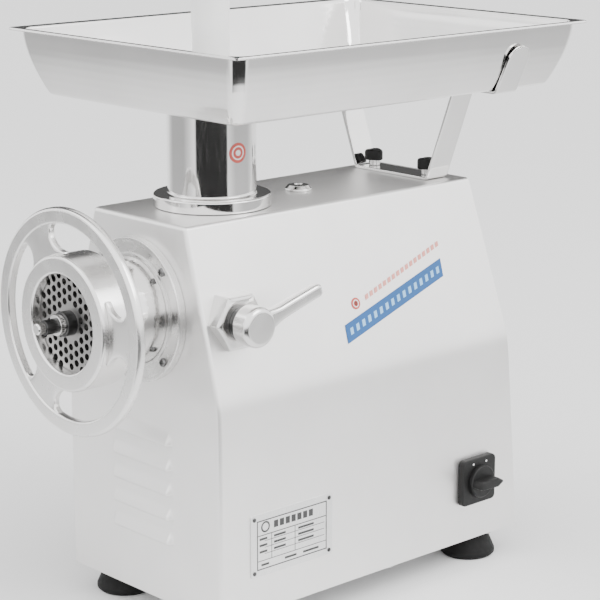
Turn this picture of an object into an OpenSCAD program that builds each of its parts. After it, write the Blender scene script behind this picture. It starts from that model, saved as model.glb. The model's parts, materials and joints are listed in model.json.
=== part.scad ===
// Electric meat grinder: a folded steel body on four rubber feet, a grinding head with a hand
// wheel at the front, a feed neck and tray on top, and a belt and gear drive inside.
// Z = 0 is the worktop. The head looks along -Y. Places along Y are measured from the front
// panel, and from_front() then centres the whole machine on the origin.

/* [Body] */
// Width of the body over its upright lower sides
body_w = 215; // [185:1:260]
// Width of the top panel
top_w = 128; // [112:1:160]
// Height of the top panel above the worktop
top_z = 376; // [370:1:450]
// Height of the bend between the upright and the sloping sides
bend_z = 223; // [190:1:265]
// Clear height under the body, which the feet fill
base_z = 28; // [24:1:40]
// Length of the top panel
top_len = 353; // [350:1:430]
// Length of the body at its base
base_len = 385; // [365:1:470]
// Thickness of the folded sheet
sheet = 1.5; // [1:0.1:2.5]
// Width of the return lips that the covers screw to
lip_w = 10; // [9:0.5:14]
// Thickness of the leaning rear cover
cover_t = 1.5; // [1:0.1:3]
// Thickness of the base plate
base_t = 3; // [2:0.5:5]
// Number of louvres in the front panel
louvre_count = 5; // [3:1:5]
// Width of a louvre
louvre_w = 88; // [60:1:110]
// Distance between louvres
louvre_pitch = 23; // [20:1:26]
// How far a louvre stands out of the panel
louvre_out = 4.5; // [3:0.5:6]

/* [Grinding head] */
// Height of the grinding axis above the worktop
head_z = 294; // [290:1:305]
// Outside diameter of the barrel
barrel_d = 96; // [90:1:112]
// Bore of the barrel around the auger
bore_d = 88; // [72:1:90]
// Diameter of the barrel's threaded mouth
mouth_d = 108; // [106:1:124]
// Diameter of the grinding plate
plate_d = 99; // [90:0.5:102]
// Thickness of the grinding plate
plate_t = 8; // [6:0.5:12]
// Diameter of a hole in the grinding plate
plate_hole_d = 6; // [3:0.5:7]
// Distance between the holes in the grinding plate
plate_pitch = 8.7; // [8:0.1:12]
// Distance from the front panel to the front face of the grinding plate
plate_out = 75; // [70:1:90]
// Diameter of the auger's front stud in the plate's bush
stud_d = 18; // [12:0.5:20]
// Diameter of the auger's core
core_d = 34; // [30:1:44]
// Turns of the auger's flight
flight_turns = 3.5; // [2.5:0.25:5]
// Diameter of the auger's rear journal
journal_d = 32; // [28:1:34]
// Square of the drive tang
tang_sq = 22; // [16:0.5:22]
// Outside diameter of the front flange
flange_d = 130; // [126:1:150]
// Bolt circle of the front flange
flange_pcd = 114; // [113:1:130]

/* [Hand wheel] */
// Outside diameter of the hand wheel
wheel_d = 200; // [185:1:240]
// Radial width of the rim
rim_w = 14; // [10:1:18]
// Thickness of the rim
rim_t = 9; // [6:0.5:14]
// Outside diameter of the wheel's ring nut
hub_d = 119; // [117:1:132]
// Opening through the ring nut's lip
lip_d = 87; // [70:1:90]
// Thickness of the ring nut's lip
lip_t = 10; // [6:0.5:12]
// Length of the ring nut
hub_len = 35; // [26:1:40]
// Number of spokes
spokes = 3; // [3:1:4]

/* [Feed] */
// Distance from the front panel to the centre of the feed neck
neck_y = 85; // [80:1:95]
// Outside diameter of the feed neck
neck_d = 80; // [70:1:84]
// Bore of the feed neck
neck_bore = 72; // [60:1:76]
// Diameter of the foot collar round the neck
collar_d = 106; // [100:1:116]
// Height of the foot collar
collar_h = 10; // [8:1:20]
// Thickness of the gasket under the collar
gasket_t = 1.5; // [1:0.5:5]
// Diameter of the pusher's plunger
plunger_d = 64; // [50:1:70]
// Length of the plunger below its guard
plunger_len = 70; // [40:1:75]
// Diameter of the pusher's handle
handle_d = 34; // [28:1:40]
// Length of the pusher's handle above its guard
handle_len = 155; // [110:1:190]

/* [Tray] */
// Length of the tray over its rim
tray_len = 432; // [360:1:520]
// Width of the tray over its rim
tray_w = 315; // [265:1:380]
// How far the tray's rim reaches in front of the front panel
tray_over = 21; // [10:1:40]
// Depth of the tray
tray_h = 60; // [45:1:80]
// Gap from the top panel up to the tray's floor
tray_gap = 94; // [75:1:115]
// Width of the flat rim
rim_lip = 5; // [3:1:14]
// Sheet thickness of the tray
tray_t = 1.5; // [1:0.1:2]
// Sideways flare of the tray's walls
flare_x = 21.5; // [8:0.5:26]
// Lengthways flare of the tray's walls
flare_y = 16; // [6:0.5:20]
// Corner radius of the tray at its floor
tray_r = 10; // [6:1:24]
// Width of the bent strip under the tray
strip_w = 28; // [20:1:40]
// Thickness of the bent strip
strip_t = 3; // [2:0.5:4]
// Distance from the front panel to the middle of the strip
strip_y = 325; // [300:1:330]

/* [Clamp and controls] */
// Distance from the front panel to the clamp's axis
clamp_y = 32; // [30:1:45]
// Distance across the flats of the clamp's boss
boss_af = 47; // [36:1:52]
// Diameter of the clamp's screw
clamp_d = 18; // [12:1:22]
// Length of the clamp's lever from its axis
lever_len = 78; // [50:1:95]
// Distance from the front panel to the switch
switch_y = 323; // [305:1:325]
// Height of the switch above the worktop
switch_z = 89; // [80:1:100]
// Side of the switch's square plate
switch_w = 46; // [40:1:50]
// Distance from the front panel to the front edge of the data plate
label_y = 34; // [20:1:60]
// Length of the data plate
label_w = 98; // [70:1:120]
// Height of the data plate
label_h = 58; // [40:1:70]
// Height of the data plate's lower edge above the worktop
label_z = 62; // [50:1:80]
// Diameter of the supply cord that the gland takes
cord_d = 8; // [6:0.5:10]

/* [Drive] */
// Tooth size of the gear pair (module)
gear_m = 2; // [1.9:0.05:2.05]
// Teeth on the large gear
gear_z = 49; // [43:1:50]
// Teeth on the pinion
pinion_z = 17; // [16:1:19]
// Width of the gears
gear_w = 26; // [18:1:30]
// Pitch diameter of the large pulley
pulley_big = 131; // [110:1:136]
// Pitch diameter of the motor's pulley
pulley_small = 43; // [40:1:56]
// Outside diameter of the motor
motor_d = 132; // [110:1:136]
// Length of the motor's casing
motor_len = 136; // [110:1:140]
// Height of the motor's axis above the worktop
motor_z = 118; // [112:1:122]
// Diameter of the motor's shaft
motor_shaft_d = 24; // [18:1:28]

/* [Fits] */
// Radial clearance of a running fit
run = 0.05; // [0.03:0.01:0.08]
// Clearance between sheet covers and what they sit in
cover_gap = 0.3; // [0.2:0.1:0.6]
// Clearance between parts that pass each other
pass = 0.4; // [0.3:0.1:0.8]

/* [Hidden] */
$fn = 64;

// Body lines
lean = atan((base_len - top_len) / (top_z - base_z));
slope = (body_w - top_w) / 2 / (top_z - bend_z);
slope_k = sqrt(1 + slope * slope);
bend_r = 4;
function side_x(z) = z < bend_z ? body_w / 2 : body_w / 2 - (z - bend_z) * slope;
function rear_y(z) = base_len - (z - base_z) * tan(lean);
floor_z = base_z + sheet;
deck_z = floor_z + base_t;

// Grinding head lines, from the front panel
plate_y = -plate_out;
plate_back = plate_y + plate_t;
knife_t = 9.4;
knife_y = plate_back + 0.3;
knife_back = knife_y + knife_t;
mouth_y = plate_y + 2;
recess_y = knife_back + 2;
bore_y = recess_y;
auger_y = knife_back;
flight_len = 184;
auger_back = auger_y + flight_len;
washer_t = 3;
wall_y = auger_back + washer_t + 2 * pass;
wall_t = 10;
barrel_back = wall_y + wall_t;
spigot_len = 10;
spigot_d = 68;
socket_y = barrel_back + 1;
recess_d = plate_d + 4 * run;
sleeve_t = 3.4;
sleeve_d = barrel_d + 4 * run + 2 * sleeve_t;
sleeve_len = 20;
flange_t = 8;
stud_tip = plate_y - 36;
square_w = 24;
square_len = knife_t;
bush_collar_d = 22;
bush_d = 23;
key_d = 5;
tang_len = 18;

// Feed lines
port_top = top_z - sheet - 0.5;
port_d = neck_d + 10;
neck_seat = head_z + barrel_d / 2 + 8;
collar_z = top_z + gasket_t;
tray_z = top_z + tray_gap;
neck_lip = 6;
neck_top = tray_z + neck_lip + tray_t;
spigot_od = neck_d - 4;
guard_t = 8;

// Gearbox and drive lines
centres = (gear_z + pinion_z) * gear_m / 2;
pinion_z0 = head_z - centres;
frame_y = socket_y + spigot_len - 3;
frame_t = 8;
gear_tip = (gear_z + 2) * gear_m / 2;
pinion_tip = (pinion_z + 2) * gear_m / 2;
box_y = frame_y + frame_t;
front_wall = 18;
box_len = front_wall + gear_w + 22;
box_back = box_y + box_len;
lid_t = 16;
drive_d = 34;
bearing_w = 14;
drive_od = 62;
pinion_d = 20;
pinion_od = 47;
collar_wall = 9;
box_r = gear_tip + 8;
neck_r = pinion_tip + 12;
box_screw_r = 3;
box_lug_r = 7;
box_bolt_r = box_r + 2;
box_spots = [for (a = [20, 160, 200, 340]) [box_bolt_r * cos(a), head_z + box_bolt_r * sin(a)]];
gear_y = box_y + front_wall + 10;
shaft_back = box_back + bearing_w - 1;
belt_w = 13;
belt_t = 8;
pulley_w = 26;
pulley_y = box_back + lid_t + 14;
belt_y = pulley_y + (pulley_w - belt_w) / 2;
motor_y = 62;
bell_t = 13;
motor_back = motor_y + motor_len;
rotor_d = 76;
fan_y = motor_y - bell_t - 18;
motor_bearing_od = 52;
cradle_top = motor_z - 46;
cradle_bolt_d = 8;
cradle_y = [motor_y + 22, motor_back - 38];
cradle_x = motor_d / 2 - 8;
cradle_w = 16;
cradle_spots = [for (x = [-cradle_x, cradle_x], y = cradle_y) [x, y + cradle_w / 2]];

// Tray lines
tray_floor_w = tray_w - 2 * (rim_lip + flare_x);
tray_floor_l = tray_len - 2 * (rim_lip + flare_y);
tray_mid = tray_len / 2 - tray_over;
rim_r = 3;
// Heights of the wall's bends as shares of its height, and its share of the flare there
wall_levels = [0, 0.25, 0.6, 1];
wall_curve = 1.6;

// Row places
tray_back = tray_len - tray_over;
front_y = -(tray_back + stud_tip) / 2;

module from_front() { translate([0, front_y, 0]) children(); }

// A profile of [radius, y] points turned round an axis along Y at height z
module turned(points, z = head_z, x = 0) {
    translate([x, 0, z])
        rotate([90, 0, 0])
            rotate_extrude()
                polygon([for (p = points) [p[0], -p[1]]]);
}

// A ring or a rod along Y from y0 to y1
module rod(r, y0, y1, z = head_z, x = 0) {
    translate([x, y1, z])
        rotate([90, 0, 0])
            cylinder(r = r, h = y1 - y0);
}
module ring(r0, r1, y0, y1, z = head_z, x = 0) {
    turned([[r0, y0], [r1, y0], [r1, y1], [r0, y1]], z, x);
}

// A rod along X from x0 to x1
module rod_x(r, x0, x1, y, z) {
    translate([x0, y, z])
        rotate([0, 90, 0])
            cylinder(r = r, h = x1 - x0);
}

// Points of a polygon whose corners are rounded, each with its own radius
function unit(v) = v / norm(v);
function wrap(a) = a > 180 ? a - 360 : a < -180 ? a + 360 : a;
function corner(a, b, c, r, n) =
    let (u = unit(a - b), v = unit(c - b), half = acos(u * v) / 2)
    let (m = b + unit(u + v) * r / sin(half), d = r / tan(half))
    let (s = b + u * d - m, e = b + v * d - m)
    let (a0 = atan2(s[1], s[0]), da = wrap(atan2(e[1], e[0]) - a0))
    r == 0 ? [b] : [for (i = [0 : n]) m + r * [cos(a0 + da * i / n), sin(a0 + da * i / n)]];
function rounded(p, r, n = 6) =
    let (k = len(p))
    [for (i = [0 : k - 1]) each corner(p[(i + k - 1) % k], p[i], p[(i + 1) % k], r[i], n)];
function box_points(w, l) = [[-w / 2, -l / 2], [w / 2, -l / 2], [w / 2, l / 2], [-w / 2, l / 2]];
function round_box(w, l, r, n = 8) = rounded(box_points(w, l), [r, r, r, r], n);

// The body's cross section, moved inwards by t, with its open lower edge at height z0
function half_section(t, z0) =
    let (top = top_z - t, bend = bend_z - t * (slope_k - 1) / slope)
    [[body_w / 2 - t, z0], [body_w / 2 - t, bend], [side_x(top) - t * slope_k, top]];
function section(t, z0) =
    let (h = half_section(t, z0), r = max(bend_r - t, 0))
    rounded([h[0], h[1], h[2], [-h[2][0], h[2][1]], [-h[1][0], h[1][1]], [-h[0][0], h[0][1]]],
        [0, 3 * bend_r, r, r, 3 * bend_r, 0]);
module prism(t, y0, y1, z0) {
    translate([0, y1, 0])
        rotate([90, 0, 0])
            linear_extrude(y1 - y0)
                polygon(section(t, z0));
}

// The slab between two depths behind the leaning rear face, and places on that face
module slab(d0, d1) {
    on_rear()
        translate([-body_w, -d1, -top_z])
            cube([2 * body_w, d1 - d0, 3 * top_z]);
}
module on_rear(x = 0, h = 0) {
    translate([0, base_len, base_z])
        rotate([lean, 0, 0])
            translate([x, 0, h])
                children();
}

// Screw with a pan head: head from z 0 up, shank below, a hexagon socket in the head
module screw(d, len, head_d, head_h) {
    difference() {
        union() {
            cylinder(d = head_d, h = head_h);
            translate([0, 0, -len])
                cylinder(d = d, h = len);
        }
        translate([0, 0, head_h * 0.4])
            cylinder(d = d, h = head_h, $fn = 6);
    }
}

// Places of the fastenings
louvre_h = 13;
screw_d = 4;
lip_mid = sheet + lip_w / 2;
base_lip_x = body_w / 2 - lip_mid;
base_lip_y = [30, base_len / 2 + 20, base_len - 35];
rear_h = (top_z - base_z) / cos(lean);
bend_h = (bend_z - base_z) / cos(lean);
rear_spots = [[-base_lip_x, 30], [base_lip_x, 30], [-base_lip_x, bend_h - 25],
    [base_lip_x, bend_h - 25], [-20, rear_h - lip_mid], [20, rear_h - lip_mid]];
foot_top_r = 17;
foot_r = 27;
foot_x = body_w / 2 - sheet - lip_w - foot_top_r - 1;
foot_y = [38, base_len - 38];
foot_spots = [for (x = [-foot_x, foot_x], y = foot_y) [x, y]];
foot_bolt_d = 8;
flange_spots = [for (a = [45 : 90 : 315]) flange_pcd / 2 * [cos(a), sin(a)]];
flange_screw_d = 5;
flange_rim = 4;
flange_head_d = min(9, flange_d - 2 * flange_rim - flange_pcd - pass,
    flange_pcd - barrel_d - 6 - 2 * pass);
hole_gap = 0.25;
plug_y = neck_y + 105;
plug_d = 14;
gland_x = -60;
gland_h = 52;
gland_d = 20;
strip_foot = 48;
strip_knee = 82;
knob_x = 36;
knob_stud_d = 8;
rivet_d = 3;
rivet_in = 4;
rivet_spots = [for (y = [rivet_in, label_w - rivet_in], z = [rivet_in, label_h - rivet_in])
    [label_y + y, label_z + z]];
switch_x = body_w / 2;
switch_t = 7;
spindle_r = 5;
boss_face = side_x(head_z) + 14;
lever_x = boss_face + 7;
lever_t = 12;
lever_hub = 18;

// ---- Body ----

module louvre_hood(inset, back) {
    depth = louvre_out - inset;
    tall = louvre_h - inset;
    rotate([90, 0, 90])
        linear_extrude(louvre_w - 2 * inset, center = true)
            polygon([[back, tall / 2], [0, tall / 2], [-depth, -tall / 2 + 1],
                [-depth, -tall / 2], [back, -tall / 2]]);
}
module louvres(inset, back) {
    first = bend_z - 40 - (louvre_count - 1) * louvre_pitch;
    for (i = [0 : louvre_count - 1])
        translate([0, 0, first + i * louvre_pitch])
            louvre_hood(inset, back);
}

module housing_shell() from_front() color("gainsboro") {
    difference() {
        union() {
            prism(0, 0, base_len, base_z);
            louvres(0, sheet / 2);
        }
        slab(-base_len, 0);
        difference() {
            prism(sheet, sheet, base_len + 1, floor_z);
            slab(-base_len, cover_t + sheet);
        }
        intersection() {
            prism(sheet, sheet, base_len + 1, base_z - 1);
            slab(-base_len, cover_t);
        }
        intersection() {
            prism(sheet + lip_w, sheet, base_len + 1, base_z - 1);
            slab(-base_len, cover_t + 2 * sheet);
        }
        translate([-body_w / 2 + sheet + lip_w, sheet + lip_w, base_z - 1])
            cube([body_w - 2 * (sheet + lip_w), base_len, sheet + 2]);
        translate([0, -0.01, -1])
            louvres(1, sheet + 1);
        rod(sleeve_d / 2 + pass, -1, sheet + 1);
        for (p = flange_spots)
            rod(flange_screw_d / 2 + hole_gap, -1, sheet + 1, head_z + p[1], p[0]);
        translate([0, neck_y, top_z - sheet - 1])
            cylinder(d = neck_d + 2, h = sheet + 2);
        translate([0, plug_y, top_z - sheet - 1])
            cylinder(d = plug_d, h = sheet + 2);
        rod_x(clamp_d / 2 + 1, top_w / 4, body_w / 2, clamp_y, head_z);
        rod_x(switch_w * 0.36, body_w / 4, body_w, switch_y, switch_z);
        for (p = rivet_spots)
            rod_x(rivet_d / 2, body_w / 4, body_w, p[0], p[1]);
        for (x = [-base_lip_x, base_lip_x], y = base_lip_y)
            translate([x, y, base_z - 1])
                cylinder(d = screw_d + 2 * hole_gap, h = sheet + 2);
        for (p = rear_spots)
            on_rear(p[0], p[1])
                rod(screw_d / 2 + hole_gap, -cover_t - 2 * sheet, 1, 0);
    }
}

module rear_cover() from_front() color("gainsboro") {
    vent_w = 56;
    difference() {
        intersection() {
            prism(sheet + cover_gap, sheet, base_len + 1, base_z + cover_gap);
            slab(0, cover_t);
        }
        for (p = rear_spots)
            on_rear(p[0], p[1])
                rod(screw_d / 2 + hole_gap, -cover_t - 1, 1, 0);
        on_rear(gland_x, gland_h)
            rod(gland_d / 2, -cover_t - 1, 1, 0);
        for (i = [0 : 5], side = [-1, 1])
            on_rear(side * 36, 110 + i * 12)
                translate([-vent_w / 2, -cover_t - 1, 0])
                    cube([vent_w, cover_t + 2, 5]);
    }
}

module base_plate() from_front() color("silver") {
    difference() {
        translate([-body_w / 2 + sheet + cover_gap, sheet + cover_gap, floor_z])
            cube([body_w - 2 * (sheet + cover_gap), base_len, base_t]);
        slab(-base_len, cover_t + sheet + cover_gap);
        for (p = foot_spots)
            translate([p[0], p[1], floor_z - 1])
                cylinder(d = foot_bolt_d, h = base_t + 2);
        for (x = [-base_lip_x, base_lip_x], y = base_lip_y)
            translate([x, y, floor_z - 1])
                cylinder(d = screw_d, h = base_t + 2);
        for (p = cradle_spots)
            translate([p[0], p[1], floor_z - 1])
                cylinder(d = cradle_bolt_d, h = base_t + 2);
        for (i = [0 : 6])
            translate([-35, motor_y + 10 + i * 16, floor_z - 1])
                cube([70, 6, base_t + 2]);
    }
}

module cover_screws() from_front() color("dimgray") {
    for (p = rear_spots)
        on_rear(p[0], p[1])
            rotate([-90, 0, 0])
                screw(screw_d, cover_t + sheet + 3, 8, 2.4);
    for (x = [-base_lip_x, base_lip_x], y = base_lip_y)
        translate([x, y, base_z])
            rotate([180, 0, 0])
                screw(screw_d, sheet + base_t, 8, 2.4);
}

module rubber_feet() from_front() color([0.08, 0.08, 0.08]) {
    for (p = foot_spots)
        translate([p[0], p[1], 0])
            difference() {
                rotate_extrude()
                    polygon([[0, 0], [foot_r - 3, 0], [foot_r, 3], [foot_r, 6],
                        [foot_top_r, floor_z], [0, floor_z]]);
                translate([0, 0, floor_z - 16])
                    cylinder(d = foot_bolt_d, h = 17);
            }
}

module foot_bolts() from_front() color("silver") {
    for (p = foot_spots)
        translate([p[0], p[1], deck_z])
            screw(foot_bolt_d, base_t + 15, 14, 5);
}

module data_plate() from_front() color("silver") {
    plate = 1;
    difference() {
        translate([body_w / 2, label_y, label_z])
            cube([plate, label_w, label_h]);
        for (p = rivet_spots)
            rod_x(rivet_d / 2, body_w / 2 - 1, body_w, p[0], p[1]);
    }
    for (p = rivet_spots) {
        rod_x(rivet_d / 2, body_w / 2 - sheet - 1, body_w / 2 + plate, p[0], p[1]);
        rod_x(rivet_d / 2 + 1, body_w / 2 + plate, body_w / 2 + plate + 1, p[0], p[1]);
    }
}

// ---- Grinding head ----

module front_flange() from_front() color("silver") {
    r = flange_d / 2;
    bore = barrel_d / 2 + 2 * run;
    difference() {
        turned([[bore, -flange_t], [bore + 3, -flange_t], [bore + 3, -flange_t + 2],
            [r - flange_rim, -flange_t + 2], [r - flange_rim, -flange_t], [r, -flange_t], [r, 0],
            [sleeve_d / 2, 0], [sleeve_d / 2, sleeve_len], [bore, sleeve_len]]);
        for (p = flange_spots)
            rod(flange_screw_d / 2 + hole_gap, -flange_t - 1, 1, head_z + p[1], p[0]);
    }
}

module flange_screws() from_front() color("dimgray") {
    for (p = flange_spots)
        translate([p[0], -flange_t + 2, head_z + p[1]])
            rotate([90, 0, 0])
                screw(flange_screw_d, flange_t + 6, flange_head_d, 3);
}

module barrel() from_front() color("lightgray") {
    mouth_back = mouth_y + hub_len - lip_t - 3;
    difference() {
        union() {
            turned([[0, mouth_y], [mouth_d / 2, mouth_y], [mouth_d / 2, mouth_back],
                [barrel_d / 2, mouth_back + 6], [barrel_d / 2, barrel_back],
                [spigot_d / 2, barrel_back], [spigot_d / 2, barrel_back + spigot_len],
                [0, barrel_back + spigot_len]]);
            translate([0, neck_y, head_z])
                cylinder(d = port_d, h = port_top - head_z);
        }
        rod(bore_d / 2, bore_y - 1, wall_y);
        rod(recess_d / 2, mouth_y - 1, recess_y);
        rod(journal_d / 2 + run, wall_y - 1, barrel_back + spigot_len + 1);
        translate([0, neck_y, neck_seat])
            cylinder(d = neck_d + 4 * run, h = port_top);
        translate([0, neck_y, head_z])
            cylinder(d = neck_bore, h = port_top);
        rod(key_d / 2, mouth_y - 1, plate_back + 4, head_z - plate_d / 2);
    }
}

module plate_key() from_front() color("dimgray") {
    rod(key_d / 2, plate_y + 1, plate_back + 4, head_z - plate_d / 2);
}

module neck_gasket() from_front() color([0.15, 0.15, 0.15]) {
    translate([0, neck_y, top_z])
        difference() {
            cylinder(d = collar_d - 4, h = gasket_t);
            translate([0, 0, -1])
                cylinder(d = neck_d + 2, h = gasket_t + 2);
        }
}

module feed_neck() from_front() color("lightgray") {
    r = neck_d / 2;
    c = collar_d / 2;
    translate([0, neck_y, 0])
        rotate_extrude()
            polygon([[neck_bore / 2, neck_seat], [r, neck_seat], [r, collar_z], [c, collar_z],
                [c, collar_z + collar_h - 1], [c - 1, collar_z + collar_h],
                [r, collar_z + collar_h], [r, tray_z], [spigot_od / 2, tray_z],
                [spigot_od / 2, neck_top], [neck_bore / 2, neck_top]]);
}

// One turn profile of the auger: a round core with a rounded flight on one side
module flight_section() {
    r = bore_d / 2 - 2 * pass;
    c = core_d / 2;
    polygon([for (i = [0 : 23])
        let (a = i * 15, d = min(a, 360 - a), lobe = max(0, 1 - pow(d / 48, 4)))
        (c + (r - c) * lobe) * [cos(a), sin(a)]]);
}

module auger() from_front() color("silver") {
    translate([0, auger_back, head_z])
        rotate([90, 0, 0])
            linear_extrude(flight_len, twist = -360 * flight_turns, slices = 14 * flight_turns,
                $fn = 24)
                flight_section();
}

module auger_tang() from_front() color("dimgray") {
    tang_y = barrel_back + spigot_len + pass;
    rod(journal_d / 2, auger_back, tang_y);
    translate([-tang_sq / 2, tang_y, head_z - tang_sq / 2])
        cube([tang_sq, tang_len, tang_sq]);
}

module auger_stud() from_front() color("silver") {
    nut_y = plate_y - 10;
    translate([-square_w / 2, auger_y - square_len, head_z - square_w / 2])
        cube([square_w, square_len, square_w]);
    turned([[0, stud_tip], [4, stud_tip], [5, stud_tip + 1], [5, stud_tip + 8],
        [6.5, stud_tip + 8], [6.5, nut_y - 6], [9, nut_y - 6], [9, nut_y], [stud_d / 2, nut_y],
        [stud_d / 2, auger_y - square_len], [0, auger_y - square_len]]);
}

module bush_collar() from_front() color("dimgray") {
    ring(stud_d / 2 + run, bush_collar_d / 2, plate_y - 10, plate_y);
}

module thrust_washer() from_front() color("ivory") {
    ring(journal_d / 2 + pass, bore_d / 2 - 4, wall_y - washer_t, wall_y);
}

module knife() from_front() color("silver") {
    arm = bore_d / 2 - 1.5;
    translate([0, knife_back, head_z])
        rotate([90, 0, 0])
            linear_extrude(knife_t)
                difference() {
                    union() {
                        circle(r = 21);
                        for (a = [0 : 90 : 270])
                            rotate(a)
                                polygon([[0, -8], [arm - 2, -6], [arm, -4], [arm, 7], [12, 12]]);
                    }
                    square(square_w, center = true);
                }
}

// Hole centres of the plate: upright columns, every other one shifted by half a pitch
column = plate_pitch * cos(30);
column_max = floor((plate_d / 2 - 6) / column);
row_max = ceil(plate_d / 2 / plate_pitch);
plate_spots = [for (i = [-column_max : column_max], j = [-row_max : row_max])
    let (p = [i * column, (j + (1 - abs(i) % 2) / 2) * plate_pitch])
    if (norm(p) > bush_d / 2 + plate_hole_d / 2 + 0.8 && norm(p) < lip_d / 2 - 0.3) p];

module grinding_plate() from_front() color("silver") {
    difference() {
        rod(plate_d / 2, plate_y, plate_back);
        rod(bush_d / 2, plate_y - 1, plate_back + 1);
        for (p = plate_spots)
            rod(plate_hole_d / 2, plate_y - 1, plate_back + 1, head_z + p[1], p[0]);
        rod(key_d / 2 + 0.3, plate_y - 1, plate_back + 1, head_z - plate_d / 2);
    }
}

module plate_bush() from_front() color("peru") {
    ring(stud_d / 2 + run, bush_d / 2, plate_y, plate_back);
}

module hand_wheel() from_front() color("lightgray") {
    lip_y = plate_y - lip_t;
    web_y = plate_y;
    web_t = rim_t - 2;
    inner = wheel_d / 2 - rim_w;
    gap_r = (inner + hub_d / 2 + 2) / 2;
    gap_h = (inner - hub_d / 2 - 2) / 2;
    sweep = 360 / spokes - 28 - 2 * asin(gap_h / gap_r);
    difference() {
        union() {
            turned([[lip_d / 2, lip_y], [hub_d / 2 - 2, lip_y], [hub_d / 2, lip_y + 2],
                [hub_d / 2, lip_y + hub_len], [mouth_d / 2 + run, lip_y + hub_len],
                [mouth_d / 2 + run, plate_y], [lip_d / 2, plate_y]]);
            ring(hub_d / 2 - 1, inner + 2, web_y - web_t / 2, web_y + web_t / 2);
            turned([[inner, web_y - rim_t / 2 + 2], [inner + 2, web_y - rim_t / 2],
                [wheel_d / 2 - 3, web_y - rim_t / 2], [wheel_d / 2, web_y - rim_t / 2 + 3],
                [wheel_d / 2, web_y + rim_t / 2 - 3], [wheel_d / 2 - 3, web_y + rim_t / 2],
                [inner + 2, web_y + rim_t / 2], [inner, web_y + rim_t / 2 - 2]]);
        }
        for (i = [0 : spokes - 1])
            translate([0, web_y + rim_t, head_z])
                rotate([90, 0, 0])
                    rotate((i + 0.5) * 360 / spokes)
                        wheel_gap(gap_r, gap_h, sweep);
    }
}
module wheel_gap(r, h, sweep) {
    rotate(-sweep / 2)
        rotate_extrude(angle = sweep)
            translate([r - h, 0])
                square([2 * h, 2 * rim_t]);
    for (a = [-sweep / 2, sweep / 2])
        rotate(a)
            translate([r, 0, 0])
                cylinder(r = h, h = 2 * rim_t);
}

// ---- Feed, tray and pusher ----

// Share of the flare that the wall has reached at a share of its height
function wall_share(level) = 1 - pow(1 - level, wall_curve);

// Body of the pressed tray: its walls lean outwards and grow steeper towards the rim
module tray_form(inset, z0, z1) {
    hull()
        for (level = wall_levels)
            translate([0, tray_mid, z0 + (z1 - z0 - 0.1) * level])
                linear_extrude(0.1)
                    polygon(round_box(
                        tray_floor_w + 2 * (flare_x * wall_share(level) - inset),
                        tray_floor_l + 2 * (flare_y * wall_share(level) - inset),
                        tray_r + flare_x / 4 * level - inset));
}

module tray() from_front() color("whitesmoke") {
    top = tray_z + tray_h;
    difference() {
        union() {
            tray_form(0, tray_z, top);
            translate([0, tray_mid, top - tray_t])
                linear_extrude(tray_t)
                    polygon(round_box(tray_w, tray_len, rim_r));
        }
        tray_form(tray_t, tray_z + tray_t, top + 0.2);
        translate([0, neck_y, tray_z - 1])
            cylinder(d = spigot_od + 2 * pass, h = tray_t + 2);
    }
}

// Bent strip: base, legs, arms under the tray and the upturned tongues at its walls
module strip_half() {
    foot_gap = 1;
    wall_gap = 0.3;
    floor_x = tray_floor_w / 2 + foot_gap;
    rise = min(42, tray_h - 18);
    arm_z = tray_z - strip_t;
    bend = wall_levels[1];
    lean = (flare_x * wall_share(bend) - foot_gap + wall_gap) / (bend * tray_h);
    tip_x = floor_x + lean * rise;
    lean_t = strip_t * 1.05;
    translate([0, strip_y + strip_w / 2, 0])
        rotate([90, 0, 0])
            linear_extrude(strip_w)
                polygon([[0, top_z], [strip_foot, top_z], [strip_knee, arm_z],
                    [floor_x + strip_t, arm_z], [tip_x + lean_t, tray_z + rise],
                    [tip_x, tray_z + rise], [floor_x, tray_z], [strip_knee - strip_t / 2, tray_z],
                    [strip_foot - strip_t / 2, top_z + strip_t], [0, top_z + strip_t]]);
}
module tray_bracket() from_front() color("gainsboro") {
    difference() {
        union() {
            strip_half();
            mirror([1, 0, 0])
                strip_half();
        }
        for (x = [-knob_x, knob_x])
            translate([x, strip_y, top_z - 1])
                cylinder(d = knob_stud_d + 2 * pass, h = strip_t + 2);
    }
}

module bracket_studs() from_front() color("silver") {
    for (x = [-knob_x, knob_x])
        translate([x, strip_y, top_z])
            cylinder(d = knob_stud_d, h = 16);
}

module thumb_knob(x) {
    from_front() translate([x, strip_y, top_z + strip_t + 0.3])
        difference() {
            union() {
                cylinder(d = 11, h = 5.5);
                translate([0, 0, 5])
                    linear_extrude(10.5) {
                        circle(d = 16);
                        for (a = [0 : 120 : 240])
                            rotate(a)
                                translate([6.5, 0])
                                    circle(d = 7);
                    }
            }
            translate([0, 0, -1])
                cylinder(d = knob_stud_d + 2 * run, h = 15);
        }
}
module thumb_knob_left() color([0.1, 0.1, 0.1]) thumb_knob(-knob_x);
module thumb_knob_right() color([0.1, 0.1, 0.1]) thumb_knob(knob_x);

module pusher() from_front() color("white") {
    z = neck_top;
    r = handle_d / 2;
    translate([0, neck_y, 0])
        rotate_extrude()
            polygon([[0, z - plunger_len], [plunger_d / 2 - 6, z - plunger_len],
                [plunger_d / 2, z - plunger_len + 6], [plunger_d / 2, z],
                [neck_d / 2 + 8, z], [neck_d / 2 + 10, z + 2], [neck_d / 2 + 10, z + guard_t - 2],
                [neck_d / 2 + 8, z + guard_t], [r + 4, z + guard_t], [r, z + guard_t + 8],
                [r, z + handle_len - 14], [r + 5, z + handle_len - 10],
                [r + 5, z + handle_len - 4], [r + 1, z + handle_len], [0, z + handle_len]]);
}

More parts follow.
